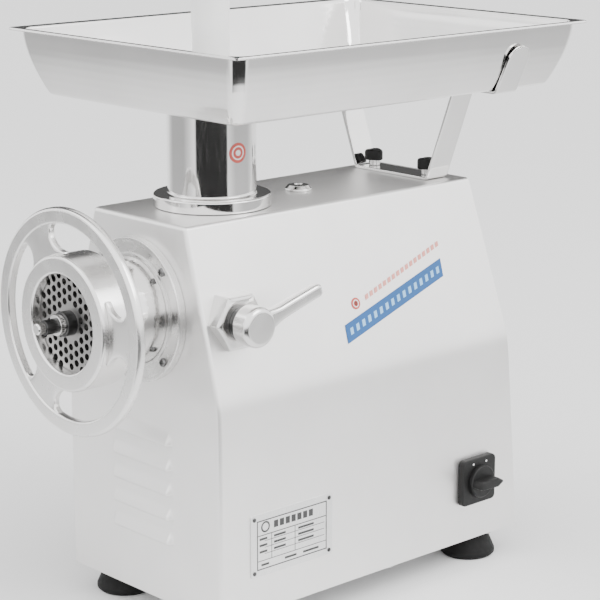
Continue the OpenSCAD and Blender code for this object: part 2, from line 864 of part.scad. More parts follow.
module oil_plug() from_front() color("silver") {
    translate([0, plug_y, top_z])
        difference() {
            rotate_extrude()
                polygon([[0, -12], [plug_d / 2, -12], [plug_d / 2, 0], [13, 0], [13, 2],
                    [10, 5], [0, 6.5]]);
            translate([-12, -1, 4.6])
                cube([24, 2, 3]);
        }
}

// ---- Clamp ----

module clamp_boss() from_front() color("silver") {
    r = boss_af / 2 / cos(30);
    difference() {
        translate([side_x(head_z) - boss_af * slope, clamp_y, head_z])
            rotate([90, 0, 90])
                cylinder(r = r, h = boss_face - side_x(head_z) + boss_af * slope, $fn = 6);
        prism(0, -1, 2 * clamp_y + boss_af, base_z);
        rod_x(clamp_d / 2 + run, 0, body_w, clamp_y, head_z);
    }
}
module clamp_screw() from_front() color("dimgray") {
    rod_x(clamp_d / 2, barrel_d / 2 + 0.3, lever_x, clamp_y, head_z);
    rod_x(clamp_d / 2 + 6, boss_face + 0.3, lever_x, clamp_y, head_z);
}
module clamp_lever() from_front() color("lightgray") {
    aim = 16;
    rod_x(lever_hub, lever_x, lever_x + lever_t + 6, clamp_y, head_z);
    translate([lever_x + 5, clamp_y, head_z])
        rotate([aim, 0, 0])
            rotate([90, 0, 90])
                linear_extrude(lever_t)
                    polygon([[0, 17], [0, -17], [30, -11], [lever_len - 4, -6.5],
                        [lever_len, -4], [lever_len, 6], [lever_len - 8, 9], [26, 8], [16, 10]]);
}

// ---- Switch and supply ----

module switch_plate() from_front() color([0.1, 0.1, 0.1]) {
    difference() {
        translate([switch_x, switch_y, switch_z])
            rotate([90, 0, 90])
                linear_extrude(switch_t)
                    polygon(round_box(switch_w, switch_w, 5));
        rod_x(spindle_r + run, switch_x - 1, switch_x + switch_t + 1, switch_y, switch_z);
    }
}
module switch_body() from_front() color([0.2, 0.2, 0.2]) {
    depth = 44;
    difference() {
        union() {
            rod_x(switch_w * 0.34, switch_x - sheet - 1, switch_x, switch_y, switch_z);
            translate([switch_x - sheet - 1 - depth, switch_y - 19, switch_z - 19])
                cube([depth, 38, 38]);
        }
        rod_x(spindle_r + run, switch_x - depth / 2, switch_x + 1, switch_y, switch_z);
    }
}
module switch_knob() from_front() color([0.06, 0.06, 0.06]) {
    face = switch_x + switch_t + pass;
    rod_x(spindle_r, switch_x - 12, face, switch_y, switch_z);
    rod_x(16, face, face + 5, switch_y, switch_z);
    translate([face + 5, switch_y, switch_z])
        rotate([90, 0, 90])
            linear_extrude(12)
                polygon([[-15, -4], [-15, 4], [10, 4.5], [17, 1.5], [17, -1.5], [10, -4.5]]);
}
module cable_gland() from_front() color([0.12, 0.12, 0.12]) {
    on_rear(gland_x, gland_h)
        turned([[cord_d / 2 + 0.2, -cover_t - 8], [gland_d / 2 + 3, -cover_t - 8],
            [gland_d / 2 + 3, -cover_t], [gland_d / 2, -cover_t], [gland_d / 2, 0],
            [gland_d / 2 + 4, 0], [gland_d / 2 + 4, 6], [gland_d / 2, 9], [gland_d / 2 - 2, 17],
            [cord_d / 2 + 0.2, 17]], 0);
}
module terminal_box() from_front() color("darkgray") {
    translate([-10, rear_y(deck_z) - 62, deck_z])
        difference() {
            cube([56, 36, 32]);
            translate([3, 3, 3])
                cube([50, 30, 30]);
        }
}
module capacitor() from_front() color("silver") {
    x = -body_w / 2 + sheet + 32;
    y0 = motor_back + bell_t + 4;
    rod(19, y0, y0 + 78, deck_z + 22, x);
    rod(9, y0 + 78, y0 + 84, deck_z + 22, x);
    translate([x - 12, y0 + 20, deck_z])
        cube([24, 30, 8]);
}

// ---- Gearbox ----

module frame_plate() from_front() color("slategray") {
    arch = motor_d / 2 + 5;
    top = min(head_z + 54, top_z - sheet - 6);
    difference() {
        intersection() {
            prism(sheet + 1, frame_y, frame_y + frame_t, deck_z);
            translate([-body_w, frame_y - 1, 0])
                cube([2 * body_w, frame_t + 2, top]);
        }
        rod(arch, frame_y - 1, box_y + 1, motor_z);
        translate([-arch, frame_y - 1, 0])
            cube([2 * arch, frame_t + 2, motor_z]);
        rod(spigot_d / 2 + collar_wall, frame_y - 1, box_y + 1);
        for (p = box_spots)
            rod(box_screw_r, frame_y - 1, box_y + 1, p[1], p[0]);
    }
    for (s = [-1, 1])
        translate([s > 0 ? arch : -body_w / 2 + sheet + 1, frame_y - 22, deck_z])
            cube([body_w / 2 - sheet - 1 - arch, 22, 6]);
}

module box_form(inset, y0, y1) {
    rod(box_r - inset, y0, y1);
    rod(neck_r - inset, y0, y1, pinion_z0);
    translate([-neck_r + inset, y0, pinion_z0])
        cube([2 * (neck_r - inset), y1 - y0, centres]);
}
module gearbox_housing() from_front() color("slategray") {
    wall = 6;
    difference() {
        union() {
            box_form(0, box_y, box_back);
            rod(spigot_d / 2 + collar_wall - pass, socket_y, box_y);
            for (p = box_spots)
                rod(box_lug_r, box_y, box_back, p[1], p[0]);
        }
        difference() {
            box_form(wall, box_y + front_wall, box_back + 1);
            for (p = box_spots)
                rod(box_lug_r, box_y, box_back + 2, p[1], p[0]);
        }
        rod(spigot_d / 2 + run, socket_y - 1, socket_y + spigot_len);
        rod(drive_d / 2 + 3, socket_y, box_y + front_wall + 1);
        rod(drive_od / 2, box_y + front_wall - bearing_w, box_y + front_wall + 1);
        rod(pinion_od / 2, box_y + front_wall - bearing_w, box_y + front_wall + 1, pinion_z0);
        for (p = box_spots)
            rod(box_screw_r, box_y - 1, box_back + 1, p[1], p[0]);
    }
}
module gearbox_cover() from_front() color("slategray") {
    difference() {
        union() {
            box_form(0, box_back, box_back + lid_t);
            for (p = box_spots)
                rod(box_lug_r, box_back, box_back + lid_t, p[1], p[0]);
        }
        rod(drive_od / 2, box_back - 1, box_back + bearing_w);
        rod(pinion_od / 2, box_back - 1, box_back + bearing_w, pinion_z0);
        rod(pinion_d / 2 + 2, box_back, box_back + lid_t + 1, pinion_z0);
        for (p = box_spots)
            rod(box_screw_r, box_back - 1, box_back + lid_t + 1, p[1], p[0]);
    }
}
module gearbox_screws() from_front() color("dimgray") {
    for (p = box_spots)
        translate([p[0], box_back + lid_t, p[1]])
            rotate([-90, 0, 0])
                screw(2 * box_screw_r, lid_t + box_len + frame_t, 11, 5);
}

// Involute gear outline: m module, z teeth, first tooth centred at angle a0
function inv(a) = tan(a) * 180 / PI - a;
function flank(r, rb) = r <= rb ? 0 : inv(acos(rb / r));
function gear_points(m, z, a0) =
    let (rp = m * z / 2, rb = rp * cos(20), rr = rp - 1.25 * m, rt = rp + m)
    let (half = 90 / z - 0.12 / rp * 180 / PI + inv(20))
    let (radii = [rr, max(rb, rr + 0.1), (rb + rt) / 2, rp + 0.5 * m, rt])
    [for (i = [0 : z - 1])
        let (c = a0 + i * 360 / z)
        each concat(
            [for (k = [0 : 4])
                let (a = c - half + flank(radii[k], rb)) radii[k] * [cos(a), sin(a)]],
            [for (k = [4 : -1 : 0])
                let (a = c + half - flank(radii[k], rb)) radii[k] * [cos(a), sin(a)]])];
module gear(m, z, a0, y0, y1, zc) {
    translate([0, y1, zc])
        rotate([90, 0, 0])
            linear_extrude(y1 - y0)
                polygon(gear_points(m, z, a0));
}

module main_gear() from_front() color("dimgray") {
    difference() {
        gear(gear_m, gear_z, -90, gear_y, gear_y + gear_w, head_z);
        rod(drive_d / 2, gear_y - 1, gear_y + gear_w + 1);
        for (a = [0 : 60 : 300])
            rod(7, gear_y - 1, gear_y + gear_w + 1, head_z + 32 * sin(a), 32 * cos(a));
    }
}
module drive_shaft() from_front() color("gray") {
    start = barrel_back + spigot_len + 2 * pass;
    difference() {
        rod(drive_d / 2, start, shaft_back);
        translate([-tang_sq / 2 - run, start - 1, head_z - tang_sq / 2 - run])
            cube([tang_sq + 2 * run, tang_len + 1, tang_sq + 2 * run]);
    }
}
module bearing(d, od, y0, z) {
    mid = (d + od) / 4;
    ring(d / 2 + run, mid - 2, y0, y0 + bearing_w, z);
    ring(mid + 2, od / 2, y0, y0 + bearing_w, z);
    ring(mid - 2, mid + 2, y0 + 2, y0 + bearing_w - 2, z);
}
module drive_bearings() from_front() color("silver") {
    bearing(drive_d, drive_od, box_y + front_wall - bearing_w, head_z);
    bearing(drive_d, drive_od, box_back, head_z);
}
module shaft_seal() from_front() color([0.15, 0.15, 0.15]) {
    seal_y = socket_y + spigot_len;
    ring(drive_d / 2 + run, drive_d / 2 + 3, seal_y, box_y + front_wall - bearing_w);
}
module pinion_shaft() from_front() color("gray") {
    r = pinion_d / 2;
    shaft_front = box_y + front_wall - bearing_w + 1;
    rod(r, shaft_front, gear_y - 2, pinion_z0);
    gear(gear_m, pinion_z, 90 + 180 / pinion_z, gear_y - 2, gear_y + gear_w + 2, pinion_z0);
    rod(r, gear_y + gear_w + 2, pulley_y + pulley_w, pinion_z0);
}
module pinion_bearings() from_front() color("silver") {
    bearing(pinion_d, pinion_od, box_y + front_wall - bearing_w, pinion_z0);
    bearing(pinion_d, pinion_od, box_back, pinion_z0);
}

// ---- Belt drive and motor ----

module pulley(d, bore, z) {
    r = d / 2;
    g = belt_w / 2 + 0.6;
    m = pulley_y + pulley_w / 2;
    outer = r + belt_t / 2 + 2;
    turned([[bore, m - pulley_w / 2], [r - belt_t / 2 - 3, m - pulley_w / 2],
        [outer, m - g - 3], [outer, m - g], [r - belt_t / 2 - 0.8, m - g],
        [r - belt_t / 2 - 0.8, m + g], [outer, m + g], [outer, m + g + 3],
        [r - belt_t / 2 - 3, m + pulley_w / 2], [bore, m + pulley_w / 2]], z);
}
module large_pulley() from_front() color("gray") {
    hole_r = pulley_big / 4 - 1;
    difference() {
        pulley(pulley_big, pinion_d / 2, pinion_z0);
        for (a = [30 : 60 : 330])
            rod(11, pulley_y - 1, pulley_y + pulley_w + 1,
                pinion_z0 + (hole_r + 6) * sin(a), (hole_r + 6) * cos(a));
    }
}
module motor_pulley() from_front() color("gray") pulley(pulley_small, motor_shaft_d / 2, motor_z);

// Outline of a belt round the two pulleys, at distance s from its middle line
function belt_points(s) =
    let (h = pinion_z0 - motor_z, r1 = pulley_small / 2 + s, r2 = pulley_big / 2 + s)
    let (t = asin((r2 - r1) / h))
    concat([for (i = [0 : 18]) let (a = 180 + t + i * (180 - 2 * t) / 18)
            [r1 * cos(a), motor_z + r1 * sin(a)]],
        [for (i = [0 : 36]) let (a = -t + i * (180 + 2 * t) / 36)
            [r2 * cos(a), pinion_z0 + r2 * sin(a)]]);
module drive_belt() from_front() color([0.1, 0.1, 0.1]) {
    translate([0, belt_y + belt_w, 0])
        rotate([90, 0, 0])
            linear_extrude(belt_w)
                difference() {
                    polygon(belt_points(belt_t / 2));
                    polygon(belt_points(-belt_t / 2));
                }
}

module motor_casing() from_front() color("slategray") {
    r = motor_d / 2;
    wall = 4.5;
    difference() {
        union() {
            rod(r - 3, motor_y, motor_back, motor_z);
            for (a = [-30 : 15 : 210])
                translate([0, motor_y + 1, motor_z])
                    rotate([0, -a, 0])
                        translate([r - wall, 0, -1.5])
                            cube([wall, motor_len - 2, 3]);
        }
        rod(r - 6, motor_y - 1, motor_back + 1, motor_z);
    }
}
module motor_stator() from_front() color("peru") {
    ring(rotor_d / 2 + 0.5, motor_d / 2 - 6, motor_y + 24, motor_back - 24, motor_z);
    for (y = [motor_y + 10, motor_back - 24])
        ring(rotor_d / 2 + 3, motor_d / 2 - 12, y, y + 14, motor_z);
}
module motor_rotor() from_front() color("gray") {
    r = motor_shaft_d / 2;
    rod(r, fan_y, pulley_y + pulley_w, motor_z);
    ring(r, rotor_d / 2, motor_y + 24, motor_back - 24, motor_z);
}
module motor_end_bells() from_front() color("slategray") {
    r = motor_d / 2 - 3;
    b = motor_bearing_od / 2;
    s = motor_shaft_d / 2 + 1;
    turned([[s, motor_y - bell_t], [r, motor_y - bell_t], [r, motor_y], [r - 10, motor_y],
        [r - 10, motor_y - bell_t + 4], [b + 4, motor_y - bell_t + 4], [b + 4, motor_y + 1],
        [b, motor_y + 1], [b, motor_y - bell_t + 2], [s, motor_y - bell_t + 2]], motor_z);
    turned([[s, motor_back + bell_t], [r, motor_back + bell_t], [r, motor_back],
        [r - 10, motor_back], [r - 10, motor_back + bell_t - 4], [b + 4, motor_back + bell_t - 4],
        [b + 4, motor_back - 1], [b, motor_back - 1], [b, motor_back + bell_t - 2],
        [s, motor_back + bell_t - 2]], motor_z);
}
module motor_bearings() from_front() color("silver") {
    for (y = [motor_y - bell_t + 2, motor_back - 3])
        ring(motor_shaft_d / 2 + run, motor_bearing_od / 2, y, y + bell_t + 1, motor_z);
}
module motor_fan() from_front() color([0.2, 0.2, 0.2]) {
    r = motor_d / 2 - 16;
    hub = motor_shaft_d / 2 + 6;
    turned([[motor_shaft_d / 2, fan_y], [hub, fan_y], [hub, fan_y + 12], [r, fan_y + 12],
        [r, fan_y + 15], [motor_shaft_d / 2, fan_y + 15]], motor_z);
    for (a = [0 : 45 : 315])
        translate([0, fan_y + 1, motor_z])
            rotate([0, a, 0])
                translate([hub - 2, 0, -1.5])
                    cube([r - hub, 12, 3]);
}
module fan_cover() from_front() color("darkgray") {
    r = motor_d / 2 - 3;
    y0 = fan_y - 5;
    difference() {
        turned([[0, y0], [r - 6, y0], [r, y0 + 6], [r, motor_y - bell_t],
            [r - 2, motor_y - bell_t], [r - 2, y0 + 7], [r - 7, y0 + 2], [0, y0 + 2]], motor_z);
        for (a = [0 : 45 : 315], d = [20 : 12 : r - 14])
            rod(4.2, y0 - 1, y0 + 3, motor_z + d * sin(a), d * cos(a));
    }
}
module motor_cradle() from_front() color("slategray") {
    difference() {
        union() {
            for (y = cradle_y) {
                translate([-cradle_x + 14, y, deck_z])
                    cube([2 * cradle_x - 28, cradle_w, cradle_top - deck_z]);
                translate([-cradle_x - 10, y, deck_z])
                    cube([2 * cradle_x + 20, cradle_w, 8]);
            }
        }
        rod(motor_d / 2 - 3, motor_y, motor_back, motor_z);
        for (p = cradle_spots)
            translate([p[0], p[1], deck_z - 1])
                cylinder(d = cradle_bolt_d, h = 20);
    }
}
module motor_bolts() from_front() color("silver") {
    for (p = cradle_spots)
        translate([p[0], p[1], deck_z + 8])
            screw(cradle_bolt_d, base_t + 8, 13, 5);
}

housing_shell();
rear_cover();
base_plate();
cover_screws();
front_flange();
flange_screws();
barrel();
neck_gasket();
feed_neck();
auger();
auger_tang();
auger_stud();
thrust_washer();
knife();
grinding_plate();
plate_bush();
plate_key();
bush_collar();
hand_wheel();
frame_plate();
gearbox_housing();
gearbox_cover();
gearbox_screws();
main_gear();
drive_shaft();
drive_bearings();
shaft_seal();
pinion_shaft();
pinion_bearings();
large_pulley();
drive_belt();
motor_pulley();
motor_casing();
motor_stator();
motor_rotor();
motor_end_bells();
motor_bearings();
motor_fan();
fan_cover();
motor_cradle();
motor_bolts();
capacitor();
terminal_box();
switch_plate();
switch_body();
switch_knob();
cable_gland();
clamp_boss();
clamp_screw();
clamp_lever();
tray();
tray_bracket();
bracket_studs();
thumb_knob_left();
thumb_knob_right();
pusher();
oil_plug();
data_plate();
rubber_feet();
foot_bolts();
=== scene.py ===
# %% [markdown]
# # An electric meat grinder in stainless steel
# The machine is a folded steel body with a grinding head, a hand wheel, a feed neck and a
# tray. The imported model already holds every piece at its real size, so this lesson only
# makes the visible pieces finer and gives every piece its finish. We start with that model,
# because its boxes say where each new surface belongs.

# %% Load the fixed model
import json
import math
import bmesh
import bpy
import numpy as np
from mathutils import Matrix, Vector

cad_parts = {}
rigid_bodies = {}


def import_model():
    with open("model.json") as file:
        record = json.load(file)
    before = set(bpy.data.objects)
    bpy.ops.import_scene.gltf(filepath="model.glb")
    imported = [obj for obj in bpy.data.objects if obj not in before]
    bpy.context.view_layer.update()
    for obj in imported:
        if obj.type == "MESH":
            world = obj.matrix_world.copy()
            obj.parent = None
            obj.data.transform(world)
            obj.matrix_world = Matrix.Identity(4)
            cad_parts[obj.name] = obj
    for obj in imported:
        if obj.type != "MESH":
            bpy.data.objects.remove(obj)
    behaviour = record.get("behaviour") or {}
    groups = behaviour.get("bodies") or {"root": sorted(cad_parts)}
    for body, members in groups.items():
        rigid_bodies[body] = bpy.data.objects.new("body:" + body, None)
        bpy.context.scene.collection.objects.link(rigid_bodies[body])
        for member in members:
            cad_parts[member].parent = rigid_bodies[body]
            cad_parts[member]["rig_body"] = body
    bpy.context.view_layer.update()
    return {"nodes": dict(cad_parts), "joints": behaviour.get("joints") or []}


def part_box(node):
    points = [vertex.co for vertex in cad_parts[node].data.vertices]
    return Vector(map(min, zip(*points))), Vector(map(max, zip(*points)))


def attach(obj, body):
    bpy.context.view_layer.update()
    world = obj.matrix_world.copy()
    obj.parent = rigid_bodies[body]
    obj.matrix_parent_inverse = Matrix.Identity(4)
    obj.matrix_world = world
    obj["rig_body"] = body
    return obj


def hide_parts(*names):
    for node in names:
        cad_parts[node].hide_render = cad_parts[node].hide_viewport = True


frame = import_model()
MM = 0.001
nodes = frame["nodes"]
joints = {joint["name"]: joint for joint in frame["joints"]}

# %% [markdown]
# ## Camera
# The machine is seen from its front right corner and a little from above, with a long lens
# that keeps its upright edges nearly parallel. The camera is made first, so that every
# later piece can be judged through it.

# %% Camera
scene = bpy.context.scene
turn, tilt = math.radians(47.4), math.radians(13.7)
camera_data = bpy.data.cameras.new("camera")
camera_data.lens = 121.9
camera_data.sensor_width = 36
camera = bpy.data.objects.new("camera", camera_data)
camera.location = (1.3733, -1.2208, 0.7246)
camera.rotation_euler = (math.pi / 2 - tilt, 0, turn)
scene.collection.objects.link(camera)
scene.camera = camera
print("lens", camera_data.lens, "mm")

# %% [markdown]
# ## Places
# Every place is read from the model: the grinding axis from its joint, the rest from the
# boxes of the nodes. Low and high corners come as arrays, so they can be used in sums.

# %% Places
def corners(node):
    """The lowest and the highest corner of a node, as arrays."""
    low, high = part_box(node)
    return np.array(low), np.array(high)


body_low, body_high = corners("housing_shell")
flange_low, flange_high = corners("front_flange")
neck_low, neck_high = corners("feed_neck")
wheel_low, wheel_high = corners("hand_wheel")
plate_low = corners("grinding_plate")[0]
tray_low, tray_high = corners("tray")
gasket_low, gasket_high = corners("neck_gasket")
head = np.array(joints["auger_spin"]["pos_m"])
head_z = head[2]
front = flange_high[1] - 20 * MM
neck = (neck_low + neck_high) / 2
top_z = gasket_low[2]
print("front panel at y", round(front, 4), "top panel at z", round(top_z, 4))

# %% [markdown]
# ## Outlines and grids
# Most pieces here are turned, pressed or bent. Each one is a grid of points: one index
# runs along an outline, the other carries the outline round an axis or along a path.
# Three helpers do this work: one rounds the corners of an outline, one joins neighbouring
# grid points with quads, and one puts finished grids into a mesh.

# %% Rounded outlines
def fillet(points, radii, steps=6, closed=True):
    """Corner arcs: each corner's arc is tangent to both sides, and its centre lies on the
    corner's bisector at radius / sin(half the corner's angle)."""
    p = np.array(points, float)
    r = np.array(np.broadcast_to(radii, len(p)), float)
    back, ahead = np.roll(p, 1, 0) - p, np.roll(p, -1, 0) - p
    back_len = np.linalg.norm(back, axis=1)
    ahead_len = np.linalg.norm(ahead, axis=1)
    back, ahead = back / back_len[:, None], ahead / ahead_len[:, None]
    half = np.arccos(np.clip((back * ahead).sum(1), -1, 1)) / 2
    reach = np.minimum(r / np.tan(half), 0.49 * np.minimum(back_len, ahead_len))
    if not closed:
        reach[[0, -1]] = 0
    r = reach * np.tan(half)
    middle = back + ahead
    middle /= np.maximum(np.linalg.norm(middle, axis=1), 1e-9)[:, None]
    centre = p + middle * (r / np.sin(half))[:, None]
    start, end = p + back * reach[:, None] - centre, p + ahead * reach[:, None] - centre
    sweep = np.pi - 2 * half
    t = np.linspace(0, 1, steps + 1)[None, :, None]
    s = np.maximum(np.sin(sweep), 1e-6)[:, None, None]
    a = sweep[:, None, None]
    arcs = (np.sin((1 - t) * a) * start[:, None] + np.sin(t * a) * end[:, None]) / s
    arcs = centre[:, None] + np.where(r[:, None, None] > 1e-9, arcs, 0)
    out = arcs.reshape(-1, p.shape[1])
    keep = np.linalg.norm(out - np.roll(out, 1, 0), axis=1) > 1e-7
    keep[0] = True
    return out[keep]


# %% Grids and meshes
def quads(rows, cols, wrap_rows=False, wrap_cols=False):
    """Four corner numbers for each cell of a grid, wrapping round where asked."""
    i = np.arange(rows if wrap_rows else rows - 1)
    j = np.arange(cols if wrap_cols else cols - 1)
    i, j = np.meshgrid(i, j, indexing="ij")
    down, right = (i + 1) % rows, (j + 1) % cols
    cells = [i * cols + j, i * cols + right, down * cols + right, down * cols + j]
    return np.stack(cells, -1).reshape(-1, 4)


def piece(name, grids, body, material, replaced=(), smooth=32, thickness=0, bevel=0):
    """One object from several grids. Each grid is (points, wrap rows, wrap columns) and may
    add a list of cells to keep. Doubled points are merged and normals turned outwards."""
    points, faces, start = [], [], 0
    for grid in grids:
        array, wrap_rows, wrap_cols = grid[:3]
        rows, cols = array.shape[:2]
        cells = quads(rows, cols, wrap_rows, wrap_cols)
        if len(grid) > 3:
            cells = cells[grid[3].reshape(-1)]
        points.append(array.reshape(-1, 3))
        faces.append(cells + start)
        start += rows * cols
    points, faces = np.concatenate(points), np.concatenate(faces)
    mesh = bpy.data.meshes.new(name)
    mesh.from_pydata(points.tolist(), [], faces.tolist())
    bm = bmesh.new()
    bm.from_mesh(mesh)
    bmesh.ops.remove_doubles(bm, verts=bm.verts, dist=2e-6)
    bmesh.ops.dissolve_degenerate(bm, edges=bm.edges, dist=1e-7)
    bmesh.ops.recalc_face_normals(bm, faces=bm.faces)
    bm.to_mesh(mesh)
    bm.free()
    return dress(bpy.data.objects.new(name, mesh), body, material, replaced, smooth,
                 thickness, bevel)


def dress(made, body, material, replaced=(), smooth=32, thickness=0, bevel=0):
    """Links a new object, rounds its edges and gives it its body, finish and CAD node. Where
    edges are already rounded, large faces decide the shading, so that flats stay flat."""
    scene.collection.objects.link(made)
    made.data.materials.clear()
    made.data.materials.append(material)
    made.data.shade_smooth()
    made.data.set_sharp_from_angle(angle=math.radians(smooth))
    if thickness:
        solid = made.modifiers.new("thickness", "SOLIDIFY")
        solid.thickness = thickness
        solid.offset = -1
    if bevel:
        edge = made.modifiers.new("edges", "BEVEL")
        edge.width = bevel
        edge.segments = 2
        edge.limit_method = "ANGLE"
        edge.angle_limit = math.radians(smooth)
        edge.harden_normals = True
    else:
        even = made.modifiers.new("even shading", "WEIGHTED_NORMAL")
        even.keep_sharp = True
        even.weight = 80
    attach(made, body)
    if replaced:
        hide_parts(*replaced)
    return made


# %% [markdown]
# A turned piece is a profile of (radius, distance along the axis) pairs. Every profile
# point becomes a circle. A profile that starts and ends on the axis makes a closed solid,
# and one that comes back to its own start makes a ring.

# %% Turned pieces
AXES = {
    "x": (np.array([0, 1, 0]), np.array([0, 0, 1]), np.array([1, 0, 0])),
    "y": (np.array([0, 0, 1]), np.array([1, 0, 0]), np.array([0, 1, 0])),
    "z": (np.array([1, 0, 0]), np.array([0, 1, 0]), np.array([0, 0, 1])),
}


def turned(profile, centre, axis="z", segments=96, radii=0.6, ring=False, steps=4):
    """Surface of revolution: centre + r (cos t e1 + sin t e2) + h axis, with the profile's
    corners rounded first. Lengths in the profile are in millimetres."""
    e1, e2, along = AXES[axis]
    outline = fillet(profile, radii, steps, closed=ring) * MM
    t = np.linspace(0, 2 * np.pi, segments, endpoint=False)
    round_ = np.cos(t)[:, None] * e1 + np.sin(t)[:, None] * e2
    grid = outline[:, None, :1] * round_[None] + outline[:, None, 1:] * along
    return np.array(centre) + grid, ring, True


def bar(sections):
    """A stack of equal loops closed at both ends: a row at each end's middle closes it."""
    first = np.broadcast_to(sections[0].mean(0), sections[0].shape)
    last = np.broadcast_to(sections[-1].mean(0), sections[-1].shape)
    return np.concatenate([first[None], sections, last[None]]), False, True


def super_loop(width, height, power=4, steps=32):
    """Superellipse |x / a|^n + |y / b|^n = 1, drawn by angle."""
    t = np.linspace(0, 2 * np.pi, steps, endpoint=False)
    c, s = np.cos(t), np.sin(t)
    x = np.sign(c) * np.abs(c) ** (2 / power) * width / 2
    y = np.sign(s) * np.abs(s) ** (2 / power) * height / 2
    return np.stack([x, y], -1)


print("helpers ready")

# %% [markdown]
# ## Finishes
# A metal's look comes from what it reflects, so its own nodes only carry the small things:
# brushing lines, wipe marks and a slight change of brightness. All patterns read Object
# coordinates, and a Mapping node stretches the noise into brush lines along one direction.

# %% Node helpers
def new_material(name):
    """A material with its Principled shader and node tree."""
    material = bpy.data.materials.new(name)
    material.use_nodes = True
    tree = material.node_tree
    return material, tree, tree.nodes["Principled BSDF"]


def noise(tree, scale, stretch=(1, 1, 1), detail=4):
    """Noise on Object coordinates. Stretch is the number of times finer per direction."""
    place = tree.nodes.new("ShaderNodeTexCoord")
    mapping = tree.nodes.new("ShaderNodeMapping")
    texture = tree.nodes.new("ShaderNodeTexNoise")
    mapping.inputs["Scale"].default_value = stretch
    texture.inputs["Scale"].default_value = scale
    texture.inputs["Detail"].default_value = detail
    tree.links.new(place.outputs["Object"], mapping.inputs["Vector"])
    tree.links.new(mapping.outputs["Vector"], texture.inputs["Vector"])
    return texture.outputs["Fac"]


def spread(tree, value, low, high, start=0.3, end=0.7):
    """Maps a value from start..end to low..high."""
    node = tree.nodes.new("ShaderNodeMapRange")
    node.inputs["From Min"].default_value = start
    node.inputs["From Max"].default_value = end
    node.inputs["To Min"].default_value = low
    node.inputs["To Max"].default_value = high
    tree.links.new(value, node.inputs["Value"])
    return node.outputs["Result"]


def shades(tree, value, dark, light):
    """Mixes two colours by a value."""
    ramp = tree.nodes.new("ShaderNodeValToRGB")
    ramp.color_ramp.elements[0].position = 0.3
    ramp.color_ramp.elements[1].position = 0.7
    ramp.color_ramp.elements[0].color = (*dark, 1)
    ramp.color_ramp.elements[1].color = (*light, 1)
    tree.links.new(value, ramp.inputs["Fac"])
    return ramp.outputs["Color"]


def bump(tree, value, strength, distance=0.0005):
    """A bump from a height value, plugged into the shader's normal."""
    node = tree.nodes.new("ShaderNodeBump")
    node.inputs["Strength"].default_value = strength
    node.inputs["Distance"].default_value = distance
    tree.links.new(value, node.inputs["Height"])
    tree.links.new(node.outputs["Normal"], tree.nodes["Principled BSDF"].inputs["Normal"])


# %% Metals
MARK_SCALE = 14


def metal(name, dark, light, rough, grain, grain_scale, bumped):
    """A metal: its colour drifts between two shades, and its roughness follows brush lines."""
    material, tree, shader = new_material(name)
    marks = noise(tree, MARK_SCALE, detail=5)
    lines = noise(tree, grain_scale, grain, detail=3)
    tree.links.new(shades(tree, marks, dark, light), shader.inputs["Base Color"])
    tree.links.new(spread(tree, lines, *rough), shader.inputs["Roughness"])
    shader.inputs["Metallic"].default_value = 1.0
    bump(tree, lines, bumped)
    return material


def grey(value, warm=0.0):
    """A grey with a slight warm cast."""
    return (value, value * (1 - warm / 2), value * (1 - warm))


def steel(name, dark, light, rough, grain, grain_scale, bumped, warm=0.02):
    """A metal between two greys with one warm cast."""
    return metal(name, grey(dark, warm), grey(light, warm), rough, grain, grain_scale, bumped)


EVEN = (1, 1, 1)
UPRIGHT = (18, 18, 1)
AROUND = (1, 14, 1)
brushed = steel("brushed_steel", 0.82, 0.86, (0.38, 0.43), UPRIGHT, 40, 0.01)
satin = steel("satin_steel", 0.62, 0.74, (0.22, 0.34), AROUND, 90, 0.06)
polished = steel("polished_steel", 0.72, 0.80, (0.06, 0.12), AROUND, 50, 0.015)
tray_steel = steel("tray_steel", 0.76, 0.83, (0.09, 0.17), (1, 1, 6), 16, 0.02)
wheel_steel = steel("wheel_steel", 0.74, 0.82, (0.20, 0.30), EVEN, 60, 0.03)
cast_steel = steel("cast_steel", 0.66, 0.78, (0.14, 0.26), EVEN, 70, 0.06)
turned_steel = steel("turned_steel", 0.55, 0.68, (0.22, 0.34), AROUND, 120, 0.06)
plate_steel = steel("plate_steel", 0.30, 0.38, (0.28, 0.4), (6, 1, 1), 60, 0.05, warm=0.03)
dark_steel = steel("dark_steel", 0.05, 0.09, (0.28, 0.4), EVEN, 90, 0.06, warm=0)
iron = steel("turned_iron", 0.20, 0.28, (0.35, 0.5), AROUND, 90, 0.1, warm=0)
gear_steel = steel("gear_steel", 0.30, 0.42, (0.25, 0.4), EVEN, 90, 0.08, warm=0.05)
tinned = steel("tinned_casting", 0.55, 0.68, (0.3, 0.46), EVEN, 120, 0.15, warm=0.03)
zinc = steel("zinc_sheet", 0.52, 0.62, (0.38, 0.5), EVEN, 30, 0.05, warm=0)
aluminium = steel("drawn_aluminium", 0.72, 0.8, (0.25, 0.35), UPRIGHT, 60, 0.04, warm=0)
screw_steel = steel("screw_steel", 0.42, 0.52, (0.25, 0.38), EVEN, 150, 0.05, warm=0)
copper = metal("wound_copper", (0.42, 0.17, 0.06), (0.58, 0.26, 0.10), (0.3, 0.45),
               (1, 40, 1), 30, 0.3)


# %% Plastics, rubber and paint
def moulded(name, dark, light, rough, grain_scale=260, bumped=0.12, coat=0.0, spec=0.5):
    """A moulded or painted finish: a fine texture over a slow drift of colour."""
    material, tree, shader = new_material(name)
    drift = noise(tree, 9, detail=3)
    fine = noise(tree, grain_scale, detail=2)
    tree.links.new(shades(tree, drift, dark, light), shader.inputs["Base Color"])
    tree.links.new(spread(tree, fine, *rough), shader.inputs["Roughness"])
    shader.inputs["Coat Weight"].default_value = coat
    shader.inputs["Specular IOR Level"].default_value = spec
    bump(tree, fine, bumped, 0.0002)
    return material


